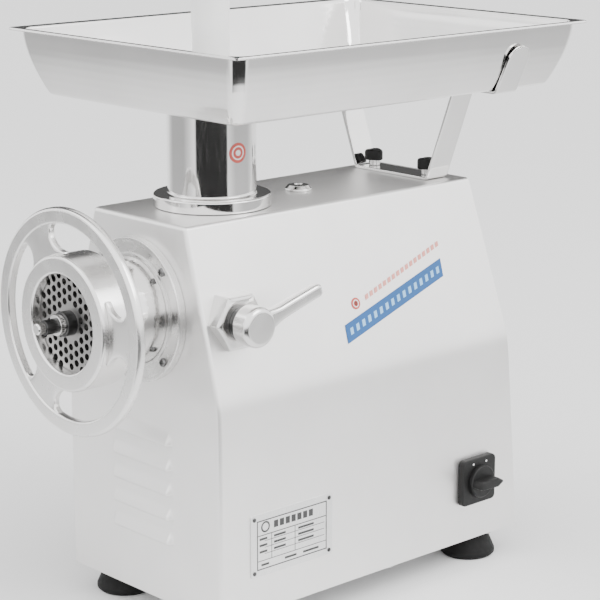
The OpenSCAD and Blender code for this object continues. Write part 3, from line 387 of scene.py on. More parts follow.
black_plastic = moulded("black_plastic", grey(0.006), grey(0.010), (0.42, 0.52), spec=0.25)
white_plastic = moulded("white_plastic", (0.80, 0.80, 0.79), (0.86, 0.86, 0.85), (0.28, 0.36),
                        120, 0.04)
rubber = moulded("moulded_rubber", grey(0.006), grey(0.012), (0.55, 0.7), 300, 0.2, spec=0.15)
belt_rubber = moulded("belt_rubber", grey(0.015), grey(0.03), (0.6, 0.75), 400, 0.3, spec=0.3)
nylon = moulded("natural_nylon", (0.72, 0.70, 0.62), (0.78, 0.76, 0.69), (0.35, 0.45), 150, 0.05)
frame_paint = moulded("frame_paint", grey(0.16), grey(0.20), (0.35, 0.5), 150, 0.1, 0.2)
gear_paint = moulded("gearbox_paint", (0.17, 0.20, 0.22), (0.21, 0.24, 0.26), (0.4, 0.55),
                     90, 0.25, 0.1)
motor_paint = moulded("motor_paint", (0.07, 0.12, 0.18), (0.09, 0.15, 0.22), (0.35, 0.5),
                      90, 0.2, 0.2)
ink_black = moulded("printed_black", grey(0.02), grey(0.035), (0.45, 0.55), 200, 0.05)


def ink(name, dark, light):
    """Printing ink: smooth, with a slight drift of colour."""
    return moulded(name, dark, light, (0.35, 0.42), 160, 0.03)


ink_blue = ink("printed_blue", (0.0005, 0.075, 0.24), (0.001, 0.085, 0.28))
ink_sky = ink("printed_sky", (0.22, 0.46, 0.74), (0.28, 0.52, 0.78))
ink_red = ink("printed_red", (0.46, 0.06, 0.05), (0.54, 0.09, 0.07))
ink_rose = ink("printed_rose", (0.66, 0.24, 0.20), (0.72, 0.30, 0.26))
ink_white = ink("printed_white", grey(0.7), grey(0.76))
print("materials", len(bpy.data.materials))

# %% [markdown]
# ## Finishes on the pieces that stay
# Inner pieces keep their exact shape from the model. Their meshes are loose triangles, so a
# merged copy is made for each one: it can be shaded smoothly and its edges can be rounded.
# The copy stands for the node and rides on the same body.

# %% Merged copies
def merged(node, material, bevel=0.3, smooth=28):
    """A copy of a node's mesh with its doubled points merged and its edges rounded."""
    mesh = nodes[node].data.copy()
    mesh.name = node + "_fine"
    bm = bmesh.new()
    bm.from_mesh(mesh)
    bmesh.ops.remove_doubles(bm, verts=bm.verts, dist=2e-6)
    bm.to_mesh(mesh)
    bm.free()
    made = bpy.data.objects.new(node + "_fine", mesh)
    return dress(made, nodes[node]["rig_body"], material, (node,), smooth, 0, bevel * MM)


FINISHES = {
    "rear_cover": brushed, "base_plate": zinc, "cover_screws": screw_steel, "barrel": polished,
    "auger": tinned, "auger_tang": tinned, "thrust_washer": nylon, "knife": turned_steel,
    "grinding_plate": plate_steel, "plate_bush": plate_steel, "plate_key": turned_steel,
    "frame_plate": frame_paint, "gearbox_housing": gear_paint, "gearbox_cover": gear_paint,
    "gearbox_screws": screw_steel, "main_gear": gear_steel, "drive_shaft": turned_steel,
    "drive_bearings": turned_steel, "shaft_seal": rubber, "pinion_shaft": gear_steel,
    "pinion_bearings": turned_steel, "large_pulley": iron, "drive_belt": belt_rubber,
    "motor_pulley": iron, "motor_casing": motor_paint, "motor_stator": copper,
    "motor_rotor": turned_steel, "motor_end_bells": motor_paint,
    "motor_bearings": turned_steel, "motor_fan": black_plastic, "fan_cover": frame_paint,
    "motor_cradle": frame_paint, "motor_bolts": screw_steel, "capacitor": aluminium,
    "terminal_box": black_plastic, "switch_body": black_plastic, "cable_gland": black_plastic,
    "bracket_studs": turned_steel, "foot_bolts": screw_steel, "clamp_screw": dark_steel,
}
UNBEVELLED = {"auger", "main_gear", "pinion_shaft", "drive_belt", "grinding_plate", "fan_cover",
              "motor_casing", "rear_cover", "base_plate", "barrel", "cable_gland"}
for node, material in FINISHES.items():
    merged(node, material, 0 if node in UNBEVELLED else 0.3)
print("merged copies", len(FINISHES))

# %% [markdown]
# ## Body
# The body is one steel sheet folded round a trapezium. Its cross section goes up the
# straight lower side, bends inwards, climbs the slope and turns over the top. Moving that
# section inwards by the fold's radius while it comes forward makes the rounded edge of the
# front panel, so skin and panel are one seamless surface.

# %% Body sizes
half_width = body_high[0]
base_z = body_low[2]
half_top = 64 * MM
bend_z = 223 * MM
fold = 4 * MM
slope = (half_width - half_top) / (top_z - bend_z)
slope_k = math.hypot(1, slope)
top_length = 353 * MM
rear_lean = (body_high[1] - (front + top_length)) / (top_z - base_z)


def side_x(z):
    """Half width of the body at a height: upright below the bend, sloping above it."""
    return np.where(z < bend_z, half_width, half_width - (z - bend_z) * slope)


def side_lines(z, inset):
    """Half width with both lines moved inwards and their meeting softened: the smooth
    minimum of a and b is (a + b - sqrt((a - b)^2 + s^2)) / 2."""
    upright = half_width - inset
    leaning = half_width - (z - bend_z) * slope - inset * slope_k
    soft = 2.5 * MM
    return (upright + leaning - np.sqrt((upright - leaning) ** 2 + soft**2)) / 2


# %% Louvre rows
hood_half, hood_out, hood_ramp = 44 * MM, 4.5 * MM, 7 * MM
hood_rise = np.array([6.5, 4.4, 2.2, 0, -2.2, -4.4, -6.5, -6.5001]) * MM
hood_lift = np.array([0, 0.10, 0.30, 0.52, 0.74, 0.90, 1, 0])
hood_z = bend_z - (40 + 23 * np.arange(5)) * MM
hood_rows = (hood_z[:, None] + hood_rise).reshape(-1)
corner_z, corner_x = top_z - fold, float(side_lines(top_z - fold, fold))
plain_rows = np.concatenate([
    np.linspace(base_z, hood_rows.min() - 2 * MM, 4),
    np.linspace(hood_rows.max() + 2 * MM, bend_z - 12 * MM, 3),
    np.linspace(bend_z - 10 * MM, bend_z + 10 * MM, 13),
    np.linspace(bend_z + 14 * MM, corner_z, 12)])
rows = np.concatenate([plain_rows, hood_rows])
lifts = np.concatenate([np.zeros(len(plain_rows)), np.tile(hood_lift, 5)])
order = np.argsort(rows, kind="stable")
rows, lifts = rows[order], lifts[order]
hood_cols = np.concatenate([np.linspace(-hood_half, -hood_half + hood_ramp, 6),
                            np.linspace(hood_half - hood_ramp, hood_half, 6)])
low_half = float(side_lines(base_z, fold))
shares = np.sort(np.concatenate([np.linspace(-1, -0.5, 5), hood_cols / low_half, [0],
                                 np.linspace(0.5, 1, 5)]))
print("front panel grid", len(rows), "x", len(shares))

# %% Body skin
def body_outline(inset):
    """One row of the outline for each inset: up the left side, round the corner, over the
    top, and down the right side mirrored."""
    inset = np.asarray(inset)[:, None]
    rise = np.clip((rows - bend_z) / (corner_z - bend_z), 0, 1)
    z = rows + (fold - inset) * slope / slope_k * rise
    x = side_lines(z, inset)
    t = np.linspace(math.atan(slope), math.pi / 2, 7)[1:]
    arc_x = corner_x + (fold - inset) * np.cos(t)
    arc_z = corner_z + (fold - inset) * np.sin(t)
    top_x = -shares[1:-1] * corner_x + 0 * inset
    top_line_z = corner_z + (fold - inset) + 0 * top_x
    right = np.concatenate([x, arc_x], 1), np.concatenate([z, arc_z], 1)
    all_x = np.concatenate([right[0], top_x, -right[0][:, ::-1]], 1)
    all_z = np.concatenate([right[1], top_line_z, right[1][:, ::-1]], 1)
    return all_x, all_z


turn_in = np.linspace(0, math.pi / 2, 7)
inset = np.append(fold * (1 - np.sin(turn_in)), 0)
x, z = body_outline(inset)
y = front + np.append(fold * (1 - np.cos(turn_in)), 0)[:, None] + 0 * x
y[-1] = body_high[1] - (z[-1] - base_z) * rear_lean
skin = np.stack([x, y, z], -1)

panel_x = shares[None] * side_lines(rows, fold)[:, None]
panel_x[-1] = shares * corner_x
ends = np.clip((hood_half - np.abs(panel_x)) / hood_ramp, 0, 1)
bulge = lifts[:, None] * ends**2 * (3 - 2 * ends)
panel = np.stack([panel_x, front - hood_out * bulge, rows[:, None] + 0 * panel_x], -1)
mouth = (np.diff(rows) < 0.001 * MM)[:, None] & np.ones(len(shares) - 1, bool)
piece("body_skin", [(skin, False, False), (panel, False, False, ~mouth)], "root", brushed,
      ("housing_shell",), smooth=25, thickness=1.5 * MM)
print("body", len(rows) * 2, "outline points")

# %% [markdown]
# ## Flange and screws
# The flange is turned steel with a raised edge ring. Its profile is closed, so it makes a
# ring. Four pan head screws hold it, and each head has a small dome. Its cross slot is not
# cut: two crossing bars of near-black steel lie on the dome as painted shade for the slot.

# %% Flange
flange_r = flange_high[0] / MM
face = flange_low[1]
sleeve_r = 51.7
piece("flange_turned", [turned(
    [(48.1, 0), (51, 0), (51, 2), (flange_r - 4, 2), (flange_r - 4, 0), (flange_r, 0),
     (flange_r, 7.9), (sleeve_r, 7.9), (sleeve_r, 28), (48.1, 28)],
    (0, face, head_z), "y", 128, [0.6, 0.6, 0.3, 0.8, 0.8, 1.2, 0.4, 0.3, 0.6, 0.6], True)],
    "root", satin, ("front_flange",))

pitch_r = 57 * MM
screw_grids, slot_shade_grids = [], []
for angle in np.radians([45, 135, 225, 315]):
    place = np.array([pitch_r * math.cos(angle), face + 2 * MM,
                      head_z + pitch_r * math.sin(angle)])
    screw_grids.append(turned([(0, -3.2), (3.2, -2.6), (3.9, -1.2), (3.9, 0), (2.5, 0), (2.5, 13),
                               (0, 13)], place, "y", 32, 0.5))
    # Painted shade: each slot is two crossing bars of near-black steel on the dome, not a cut
    # recess.
    for width, height in ((4.6, 0.9), (0.9, 4.6)):
        loop = super_loop(width * MM, height * MM, 6, 20)
        depth = np.array([-3.3, -2.6]) * MM
        slot_bar = np.stack([np.tile(loop[:, 0], (2, 1)), np.tile(depth[:, None], (1, len(loop))),
                        np.tile(loop[:, 1], (2, 1))], -1) + place
        slot_shade_grids.append(bar(slot_bar))
piece("flange_screw_heads", screw_grids, "root", iron, ("flange_screws",))
piece("flange_screw_slots", slot_shade_grids, "root", dark_steel)
print("flange radius", round(flange_r, 1), "mm")

# %% [markdown]
# ## Hand wheel
# The wheel is one casting: a ring nut, three spokes and a rim. Nut and rim are turned. A
# spoke is a flat bar whose cross section is a superellipse. It grows wider towards both
# ends, so that the three gaps between the spokes get half round ends.

# %% Hand wheel
wheel_r = wheel_high[0] / MM
rim_in = wheel_r - 14
nut_r = 59.5
lip_y = wheel_low[1]
plane_y = plate_low[1]
nut = turned(
    [(43.5, 0), (nut_r, 0), (nut_r, 35), (54.1, 35), (54.1, 10), (43.5, 10)],
    (0, lip_y, head_z), "y", 160, [2.2, 3.0, 1.5, 0.8, 0.5, 1.0], True, 6)
rim = turned(
    [(rim_in, -4.5), (wheel_r, -4.5), (wheel_r, 4.5), (rim_in, 4.5)],
    (0, plane_y, head_z), "y", 192, [2.2, 3.4, 3.4, 2.2], True, 6)
gap_in, gap_out = nut_r + 2, rim_in
gap_half, gap_mid = (gap_out - gap_in) / 2, (gap_out + gap_in) / 2


def spoke(angle):
    """Sections along the radius, between two gaps with half round ends: half width
    = w + h - sqrt(h^2 - (radius - middle)^2), where h is half the gap's width."""
    radius = gap_mid + (gap_half + 1.2) * np.sin(np.linspace(-np.pi / 2, np.pi / 2, 29))
    off = np.clip(np.abs(radius - gap_mid) / gap_half, 0, 1)
    width = 2 * (17 + gap_half * (1 - np.sqrt(1 - off**2))) * MM
    radius = radius * MM
    loop = super_loop(1, 1, 6, 40)
    bend = loop[None, :, 0] * width[:, None] / radius[:, None]
    r = radius[:, None] * (1 + 0 * bend)
    x = r * np.cos(angle + bend)
    z = head_z + r * np.sin(angle + bend)
    y = plane_y + loop[None, :, 1] * 7 * MM + 0 * bend
    return bar(np.stack([x, y, z], -1))


spokes = [spoke(math.radians(a)) for a in (0, 120, 240)]
piece("hand_wheel_cast", [nut, rim, *spokes], "hand_wheel", wheel_steel, ("hand_wheel",),
      smooth=40)
print("wheel diameter", round(2 * wheel_r), "mm")

# %% [markdown]
# ## Spindle in front of the plate
# The auger's stud stands out of the plate's bush. A dark collar sits on the plate, then
# a bright shoulder, a darker neck and a bright tip follow. Each step of the profile is one
# turned piece, split where the finish changes.

# %% Stud and collar
stud_low, stud_high = corners("auger_stud")
tip = stud_low[1]
collar_low = corners("bush_collar")[0]
piece("bush_collar_turned", [turned([(9.1, 0), (11, 0), (11, 10), (9.1, 10)],
      (0, collar_low[1], head_z), "y", 64, [0.4, 1.2, 0.3, 0.3], True)], "plate_set", dark_steel,
      ("bush_collar",))
square = 12
stud_long = (stud_high[1] - tip) / MM
square_loop = super_loop(2 * square * MM, 2 * square * MM, 16, 48)
depth = np.array([stud_long - 9.4, stud_long]) * MM + tip
block = np.stack([np.tile(square_loop[:, 0], (2, 1)), np.tile(depth[:, None], (1, 48)),
                  head_z + np.tile(square_loop[:, 1], (2, 1))], -1)
piece("auger_stud_turned", [turned(
    [(0, 0), (4, 0), (5, 1), (5, 8), (0, 8)], (0, tip, head_z), "y", 64, 0.5), turned(
    [(0, 20), (9, 20), (9, stud_long - 9), (0, stud_long - 9)], (0, tip, head_z), "y", 64, 0.4),
    bar(block)], "auger_set", polished, ("auger_stud",))
piece("auger_stud_neck", [turned([(0, 7.8), (6.5, 8), (6.5, 20.2), (0, 20.2)], (0, tip, head_z),
                                 "y", 64, 0.3)], "auger_set", dark_steel)
print("stud tip at y", round(tip, 4))

# %% [markdown]
# ## Feed neck
# The neck is a polished tube with a foot collar. The collar's skirt hides most of the black
# gasket that seals it to the top panel. A small round mark sits on the tube. It is bent to
# the tube's own radius, so it lies flat on it everywhere.

# %% Neck and gasket
nx, ny = 0.0, neck[1]
tube_r, bore_r = 40, 36
skirt_r = neck_high[0] / MM
foot_z = (gasket_high[2] - neck_low[2]) / MM
tube_top = (neck_high[2] - neck_low[2]) / MM
shoulder = tray_low[2] / MM - neck_low[2] / MM
piece("feed_neck_turned", [turned(
    [(bore_r, 0), (tube_r, 0), (tube_r, foot_z), (skirt_r - 1.5, foot_z),
     (skirt_r - 1.5, foot_z - 1), (skirt_r, foot_z - 1), (skirt_r, foot_z + 10),
     (tube_r, foot_z + 10), (tube_r, shoulder - 0.2), (tube_r - 2, shoulder - 0.2),
     (tube_r - 2, tube_top), (bore_r, tube_top)],
    (nx, ny, neck_low[2]), "z", 160,
    [0.5, 0.5, 0.3, 0.3, 0.3, 0.6, 1.6, 2.0, 0.3, 0.2, 0.6, 0.6], True)],
    "root", polished, ("feed_neck",))
gasket_r = gasket_high[0] / MM
piece("neck_gasket_turned", [turned([(41, 0), (gasket_r, 0), (gasket_r, 1.5), (41, 1.5)],
      (nx, ny, top_z), "z", 96, [0.2, 0.5, 0.5, 0.2], True)], "root", rubber, ("neck_gasket",))


mark_angle, mark_z = math.radians(-5), 0.428


def on_tube(name, radius, material, lift, ring=0.0):
    """A disc bent round the tube: its flat polar grid is laid along the tube's arc."""
    r = np.linspace(ring, 1, 8)[:, None] * radius
    t = np.linspace(0, 2 * np.pi, 40, endpoint=False)[None]
    along, up = r * np.cos(t), r * np.sin(t)
    outer = tube_r * MM + lift
    turn_by = mark_angle + along / outer
    grid = np.stack([nx + outer * np.cos(turn_by), ny + outer * np.sin(turn_by), mark_z + up], -1)
    return piece(name, [(grid, False, True)], "root", material, thickness=0.12 * MM)


on_tube("neck_mark", 9 * MM, ink_red, 0.25 * MM)
on_tube("neck_mark_ring", 6.4 * MM, ink_white, 0.33 * MM, ring=0.80)
on_tube("neck_mark_dot", 2.6 * MM, ink_white, 0.33 * MM)
print("neck radius", tube_r, "mm")

# %% [markdown]
# ## Tray
# The tray is pressed from one sheet. Its cross section runs from the feed hole out across
# the floor, up the wall, over the flat rim with its turned-down edge, and back along the
# inside. The wall leans outwards and grows steeper towards the rim. Every section point
# becomes a rounded rectangle, whose corner radius grows up the wall and gets small at the
# trimmed rim. At the feed hole the loop becomes a circle.

# %% Tray loops
tray_half = np.array([tray_high[0], (tray_high[1] - tray_low[1]) / 2])
tray_mid = np.array([0, (tray_high[1] + tray_low[1]) / 2])
rim_flat = 5 * MM
flare = np.array([21.5, 16.0]) * MM
floor_half = tray_half - rim_flat - flare
CURVE = 1.6


def tray_loop(step, corner_steps=14):
    """Rounded rectangle around the floor moved out by a step in X. Up to the wall's top the
    step in Y follows the wall's own lean, and beyond it both steps are equal."""
    on_wall = np.clip(step / flare[0], 0, 1)
    beyond = max(step - flare[0], 0)
    out_y = min(step, flare[0]) * flare[1] / flare[0] + beyond
    level = 1 - (1 - on_wall) ** (1 / CURVE)
    radius = (10 + 5.4 * level) * MM - 12.4 * MM * beyond / rim_flat
    t = np.linspace(0, np.pi / 2, corner_steps)
    signs = np.array([(1, 1), (-1, 1), (-1, -1), (1, -1)])
    angles = (t[None] + np.arange(4)[:, None] * np.pi / 2).reshape(-1)
    centre = np.repeat(signs * (floor_half + np.array([step, out_y]) - radius), corner_steps, 0)
    return tray_mid + centre + radius * np.stack([np.cos(angles), np.sin(angles)], -1)


# %% Tray surface
floor_z, rim_z = tray_low[2], tray_high[2]
sheet = 1.5 * MM
rim_out = flare[0] + rim_flat
level = np.linspace(0, 1, 9)
wall = np.stack([flare[0] * (1 - (1 - level) ** CURVE),
                 floor_z + level * (rim_z - sheet - floor_z)], -1)
outside = fillet(np.concatenate([
    [(-0.012, floor_z)], wall,
    [(rim_out - sheet, rim_z - sheet), (rim_out - sheet, rim_z - 2.4 * MM),
     (rim_out, rim_z - 2.4 * MM), (rim_out, rim_z)]]),
    np.array([0, 6, *[60] * 7, 2, 0.3, 0.2, 0.3, 0]) * MM, 4, False)
inner = wall[::-1] + np.array([-sheet, sheet])
inside = fillet(np.concatenate([[(rim_out - 0.8 * MM, rim_z)], inner,
                                [(-0.012, floor_z + sheet)]]),
                np.array([0, 3, *[60] * 7, 6, 0]) * MM, 4, False)
edge_turn = [(rim_out, rim_z - 0.8 * MM), (rim_out - 0.3 * MM, rim_z - 0.2 * MM)]
section = np.concatenate([outside[:-1], edge_turn, inside])
loops = np.stack([tray_loop(step) for step in section[:, 0]])
heights = np.broadcast_to(section[:, 1, None], loops.shape[:2])
tray_grid = np.concatenate([loops, heights[..., None]], -1)
hole_r = 38.4 * MM
towards = tray_grid[0, :, :2] - np.array([nx, ny])
towards /= np.linalg.norm(towards, axis=1)[:, None]
hole = np.array([nx, ny]) + hole_r * towards
under = np.concatenate([hole, np.full((len(hole), 1), floor_z)], 1)[None]
above = np.concatenate([hole, np.full((len(hole), 1), floor_z + sheet)], 1)[None]
piece("tray_pressed", [(np.concatenate([under, tray_grid, above]), True, True)], "tray",
      tray_steel, ("tray",), smooth=38)
print("tray", np.round(2 * tray_half, 3), "m over its rim")

# %% [markdown]
# ## Bracket under the tray
# One strip of flat bar is bent into the bracket: a foot on the top panel, two leaning legs,
# two arms under the tray and two tongues that turn up along the tray's walls. The strip's
# thin cross section is carried along this path, and it narrows to a half circle at each
# tongue's end.

# %% Bent strip
bar_low, bar_high = corners("tray_bracket")
strip_w, strip_t = bar_high[1] - bar_low[1], 3 * MM
strip_y = (bar_low[1] + bar_high[1]) / 2
tongue_x, tongue_z = bar_high[0] - strip_t / 2 - 0.1 * MM, bar_high[2]
under_z = floor_z - strip_t / 2 - 0.05 * MM
base_line = top_z + strip_t / 2
right = [(48 * MM, base_line), (82 * MM, under_z), (floor_half[0] + 2.4 * MM, under_z),
         (tongue_x, tongue_z)]
left = [(-px, pz) for px, pz in reversed(right)]
path = fillet(left + right, np.array([0, 4, 5, 4, 4, 5, 4, 0]) * MM, 8, False)
lengths = np.append(0, np.cumsum(np.linalg.norm(np.diff(path, axis=0), axis=1)))
end_r = strip_w / 2
extra = np.concatenate([end_r * (1 - np.cos(np.linspace(0, np.pi / 2, 9))),
                        lengths[-1] - end_r * (1 - np.cos(np.linspace(0, np.pi / 2, 9)))])
at = np.unique(np.round(np.concatenate([lengths, extra]), 7))
line = np.stack([np.interp(at, lengths, path[:, 0]), np.interp(at, lengths, path[:, 1])], -1)
tangent = np.gradient(line, at, axis=0)
tangent /= np.linalg.norm(tangent, axis=1)[:, None]
normal = np.stack([-tangent[:, 1], tangent[:, 0]], -1)
to_end = np.minimum(at, at[-1] - at)
half_w = end_r * np.sqrt(np.clip(1 - np.clip(1 - to_end / end_r, 0, 1) ** 2, 0.0004, 1))
edge = super_loop(2, 2, 8, 24)
across = edge[None, :, 0] * half_w[:, None]
thick = edge[None, :, 1] * strip_t / 2
strip = np.stack([line[:, None, 0] + thick * normal[:, None, 0], strip_y + across,
                  line[:, None, 1] + thick * normal[:, None, 1]], -1)
piece("tray_bracket_bent", [bar(strip)], "root", polished, ("tray_bracket",), smooth=40)
print("strip width", round(strip_w / MM, 1), "mm")

# %% [markdown]
# ## Thumb knobs
# Each knob is a black three-lobed head moulded on a short bright sleeve. The head's radius
# swells and shrinks with the angle, which a cosine does well. Sections at several heights
# round the head's upper edge.

# %% Knobs
def knob(name):
    """Lobed head: r = base + lobe cos(3 t), shrunk near top and bottom to round the edges."""
    foot = corners(name)[0][2]
    cx, cy = joints[name.replace("thumb_", "") + "_turn"]["pos_m"][:2]
    t = np.linspace(0, 2 * np.pi, 72, endpoint=False)
    radius = (8.3 + 1.5 * np.cos(3 * t)) * MM
    levels = np.array([5.1, 5.4, 6.3, 13.4, 14.8, 15.4, 15.5])
    shrink = np.array([0.86, 0.94, 1, 1, 0.93, 0.80, 0.60])
    r = shrink[:, None] * radius
    z = foot + levels[:, None] * MM + 0 * r
    grid = np.stack([cx + r * np.cos(t), cy + r * np.sin(t), z], -1)
    piece(name + "_head", [bar(grid)], name, black_plastic, (name,), smooth=45)
    stem = turned([(4.1, 0), (5.5, 0), (5.5, 5.4), (4.1, 5.4)], (cx, cy, foot), "z", 48,
                  [0.2, 0.6, 0.2, 0.2], True)
    piece(name + "_stem", [stem], name, turned_steel)


knob("thumb_knob_left")
knob("thumb_knob_right")
plug_low, plug_high = corners("oil_plug")
plug_x, plug_y = (plug_low[:2] + plug_high[:2]) / 2
piece("oil_plug_turned", [turned(
    [(0, -12), (6.9, -12), (6.9, 0.05), (13, 0.05), (13, 2), (10, 5), (4, 5.6), (4, 4.2),
     (0, 4.2)],
    (plug_x, plug_y, top_z), "z", 72, [0, 0.5, 0.2, 0.5, 1, 1.5, 0.4, 0.4, 0])], "root", polished,
    ("oil_plug",))
print("knobs and plug made")

# %% [markdown]
# ## Pusher
# The pusher is one turned piece of white plastic: a plunger, a round guard that rests on
# the neck, and a handle with a grip ring at its top.

# %% Pusher
push_low, push_high = corners("pusher")
push_long = (push_high[2] - push_low[2]) / MM
guard = (neck_high[2] - push_low[2]) / MM
piece("pusher_moulded", [turned(
    [(0, 0), (26, 0), (32, 6), (32, guard), (48, guard), (50, guard + 2), (50, guard + 6),
     (48, guard + 8), (24, guard + 8), (17, guard + 16), (17, push_long - 14), (22, push_long - 9),
     (22, push_long - 4), (17, push_long), (0, push_long)],
    (nx, ny, push_low[2]), "z", 128,
    [0, 3, 3, 1, 0.8, 1.5, 1.5, 2, 6, 14, 4, 2, 2, 3, 0])], "pusher", white_plastic, ("pusher",))
print("pusher length", round(push_long), "mm")

# %% [markdown]
# ## Clamp
# A hexagonal boss stands on the sloping side. A dark collar and a round hub follow, and the
# hub carries a cast lever that tapers towards its end. The boss is a stack of six-sided
# loops, and the topmost loops are smaller and rounder, which makes the chamfer.

# %% Hexagon boss
boss_high = corners("clamp_boss")[1]
lever_low, lever_high = corners("clamp_lever")
clamp_y = joints["clamp_turn"]["pos_m"][1]
flat_r = 47 / 2


def hexagon(size, soft, steps=6):
    """Six corners at size / cos 30, each one rounded."""
    t = np.radians(np.arange(6) * 60)
    points = np.stack([np.cos(t), np.sin(t)], -1) * size / math.cos(math.pi / 6)
    return fillet(points, soft, steps)


face_x = boss_high[0]
boss_loops = [(flat_r, 1.2), (flat_r, 1.2), (flat_r - 0.9, 3.0), (flat_r - 3.5, 8.0)]
loops = np.stack([hexagon(size, soft) for size, soft in boss_loops]) * MM
wall_x = side_x(head_z + loops[0, :, 1]) - 2 * MM
out = np.stack([wall_x] + [np.full(len(wall_x), face_x - drop * MM) for drop in (3, 0.8, 0)])
hexa = np.stack([out, clamp_y + loops[..., 0], head_z + loops[..., 1]], -1)
piece("clamp_boss_cast", [bar(hexa)], "root", cast_steel, ("clamp_boss",), smooth=35)

# %% Lever
hub_x = lever_low[0]
hub_long = (lever_high[0] - lever_low[0]) / MM
hub = turned([(0, 0), (18, 0), (18, hub_long), (0, hub_long)], (hub_x, clamp_y, head_z), "x", 96,
             [0, 1.5, 5, 0], False, 8)


def lever_arm():
    """Sections along the arm: depth and thickness fall with distance, then close at the tip."""
    s = np.linspace(0, 1, 33)
    along = s * 78 * MM
    depth = (13 + 17 * (1 - np.clip(s / 0.38, 0, 1)) ** 1.6 - 1.5 * s) * MM
    tip_round = np.sqrt(np.clip(1 - np.clip((s - 0.93) / 0.07, 0, 1) ** 2, 0.02, 1))
    thick = (12 - 2.0 * s) * MM * tip_round
    rise = (1.5 * s - 1.0 * s**2) * 2 * MM
    loop = super_loop(1, 1, 4, 36)
    v = rise[:, None] + loop[None, :, 0] * (depth * tip_round)[:, None]
    w = loop[None, :, 1] * thick[:, None]
    aim = math.radians(16)
    u = along[:, None] + 0 * v
    y = clamp_y + u * math.cos(aim) - v * math.sin(aim)
    z = head_z + u * math.sin(aim) + v * math.cos(aim)
    return bar(np.stack([hub_x + 11 * MM + w, y, z], -1))


piece("clamp_lever_cast", [hub, lever_arm()], "clamp", cast_steel, ("clamp_lever",), smooth=40)
print("clamp face at x", round(face_x, 4))

# %% [markdown]
# ## Switch
# The switch is a square black plate with soft corners, a round base and a bar grip that
# points to its position. Two small light marks show the off and on positions.

# %% Switch
sw_low = corners("switch_plate")[0]
grip_high = corners("switch_knob")[1]
sy, sz = np.array(joints["switch_turn"]["pos_m"])[1:]


def pad(width, height, soft, levels, insets, x0):
    """A cushion-like plate: rounded rectangles stacked along X, smaller at the top."""
    grids = []
    for inset in insets:
        w, h = width / 2 - inset, height / 2 - inset
        points = [(-w, -h), (w, -h), (w, h), (-w, h)]
        grids.append(fillet(points, max(soft - inset, 0.05), 6))
    flat = np.stack(grids) * MM
    x = x0 + np.array(levels)[:, None] * MM + 0 * flat[..., 0]
    return bar(np.stack([x, sy + flat[..., 0], sz + flat[..., 1]], -1))


piece("switch_plate_moulded", [pad(46, 46, 5, [0, 5.6, 6.5, 7], [0, 0, 0.5, 1.4], sw_low[0])],
      "root", black_plastic, ("switch_plate",), smooth=45)
dial_x = grip_high[0] - 17 * MM
base = turned([(0, -6), (4.9, -6), (4.9, 0), (16, 0), (16, 5), (0, 5)], (dial_x, sy, sz), "x", 72,
              [0, 0.3, 0.3, 0.5, 1.5, 0], False)
grip_outline = fillet([(-15, -4), (-15, 4), (10, 4.5), (17, 0.6), (17, -0.6), (10, -4.5)],
                      [3, 3, 3, 0.6, 0.6, 3], 5)
grip_levels = [(4, 1.0), (14, 1.0), (16, 0.93), (16.8, 0.82), (17, 0.66)]
flat = np.stack([grip_outline * size for _, size in grip_levels]) * MM
x = dial_x + np.array([level for level, _ in grip_levels])[:, None] * MM + 0 * flat[..., 0]
grip = bar(np.stack([x, sy + flat[..., 0], sz + flat[..., 1]], -1))
piece("switch_grip_moulded", [base, grip], "switch_knob", black_plastic, ("switch_knob",),
      smooth=40)


def printed_dot(y0, z0, size, x0):
    """A thin round dot printed on a face that looks along X."""
    return turned([(0, 0), (size, 0), (size, 0.15), (0, 0.15)], (x0, y0, z0), "x", 24, 0.03)


marks = [printed_dot(sy + dy * MM, sz + 18 * MM, 1.1, sw_low[0] + 6.95 * MM) for dy in (-9, 9)]
piece("switch_marks", marks, "root", ink_white)
print("switch at", round(sy, 4), round(sz, 4))

# %% [markdown]
# ## Data plate
# A thin metal plate is riveted to the side. Its print is made generic: a frame, a header
# strip and rows of plain dashes. Printed lines are thin raised strips, so they keep their
# shape in the exported model too.

# %% Data plate
dp_low, dp_high = corners("data_plate")
plate_y, plate_w = dp_low[1], dp_high[1] - dp_low[1]
plate_z, plate_h = dp_low[2], dp_high[2] - dp_low[2]


def slab(y0, y1, z0, z1, x0, x1, soft=0.0):
    """A thin rounded tile on the side of the body, between two depths along X."""
    points = [(y0, z0), (y1, z0), (y1, z1), (y0, z1)]
    loop = fillet(points, max(soft, 0.00002), 4)
    x = np.array([x0, x1])[:, None] + 0 * loop[None, :, 0]
    return bar(np.stack([x, np.tile(loop[:, 0], (2, 1)), np.tile(loop[:, 1], (2, 1))], -1))


sheet_slab = slab(plate_y, plate_y + plate_w, plate_z, plate_z + plate_h,
                  half_width + 0.00002, half_width + 1 * MM, 2 * MM)
piece("data_plate_sheet", [sheet_slab], "root", aluminium, ("data_plate",))


def on_plate(a, b, c, d):
    """A printed strip given in millimetres from the plate's lower front corner."""
    return slab(plate_y + a * MM, plate_y + b * MM, plate_z + c * MM, plate_z + d * MM,
                half_width + 0.9 * MM, half_width + 1.1 * MM)


W, H = plate_w / MM, plate_h / MM
lines = [on_plate(7, W - 7, 6, 7), on_plate(7, W - 7, H - 7, H - 6), on_plate(7, 8, 6, H - 6),
         on_plate(W - 8, W - 7, 6, H - 6), on_plate(8, W - 8, 37.5, 38.3),
         on_plate(8, W - 8, 14, 14.6)]
lines += [on_plate(16, W - 10, z, z + 0.5) for z in (20, 26, 32)]
lines += [on_plate(y, y + 0.6, 14, 38) for y in (24, 52)]
DASH_ROWS = [(21.6, (10, 27, 56)), (27.6, (10, 27, 56)), (33.4, (10, 27, 56)),
             (9.2, (12, 40, 62))]
for row_z, starts in DASH_ROWS:
    for k, start in enumerate(starts):
        lines.append(on_plate(start, start + 9 + 5 * ((k + int(row_z)) % 3), row_z, row_z + 2.0))
lines += [on_plate(27 + 7 * k, 32 + 7 * k, 42, 48.5) for k in range(7)]
piece("data_plate_print", lines, "root", ink_black)
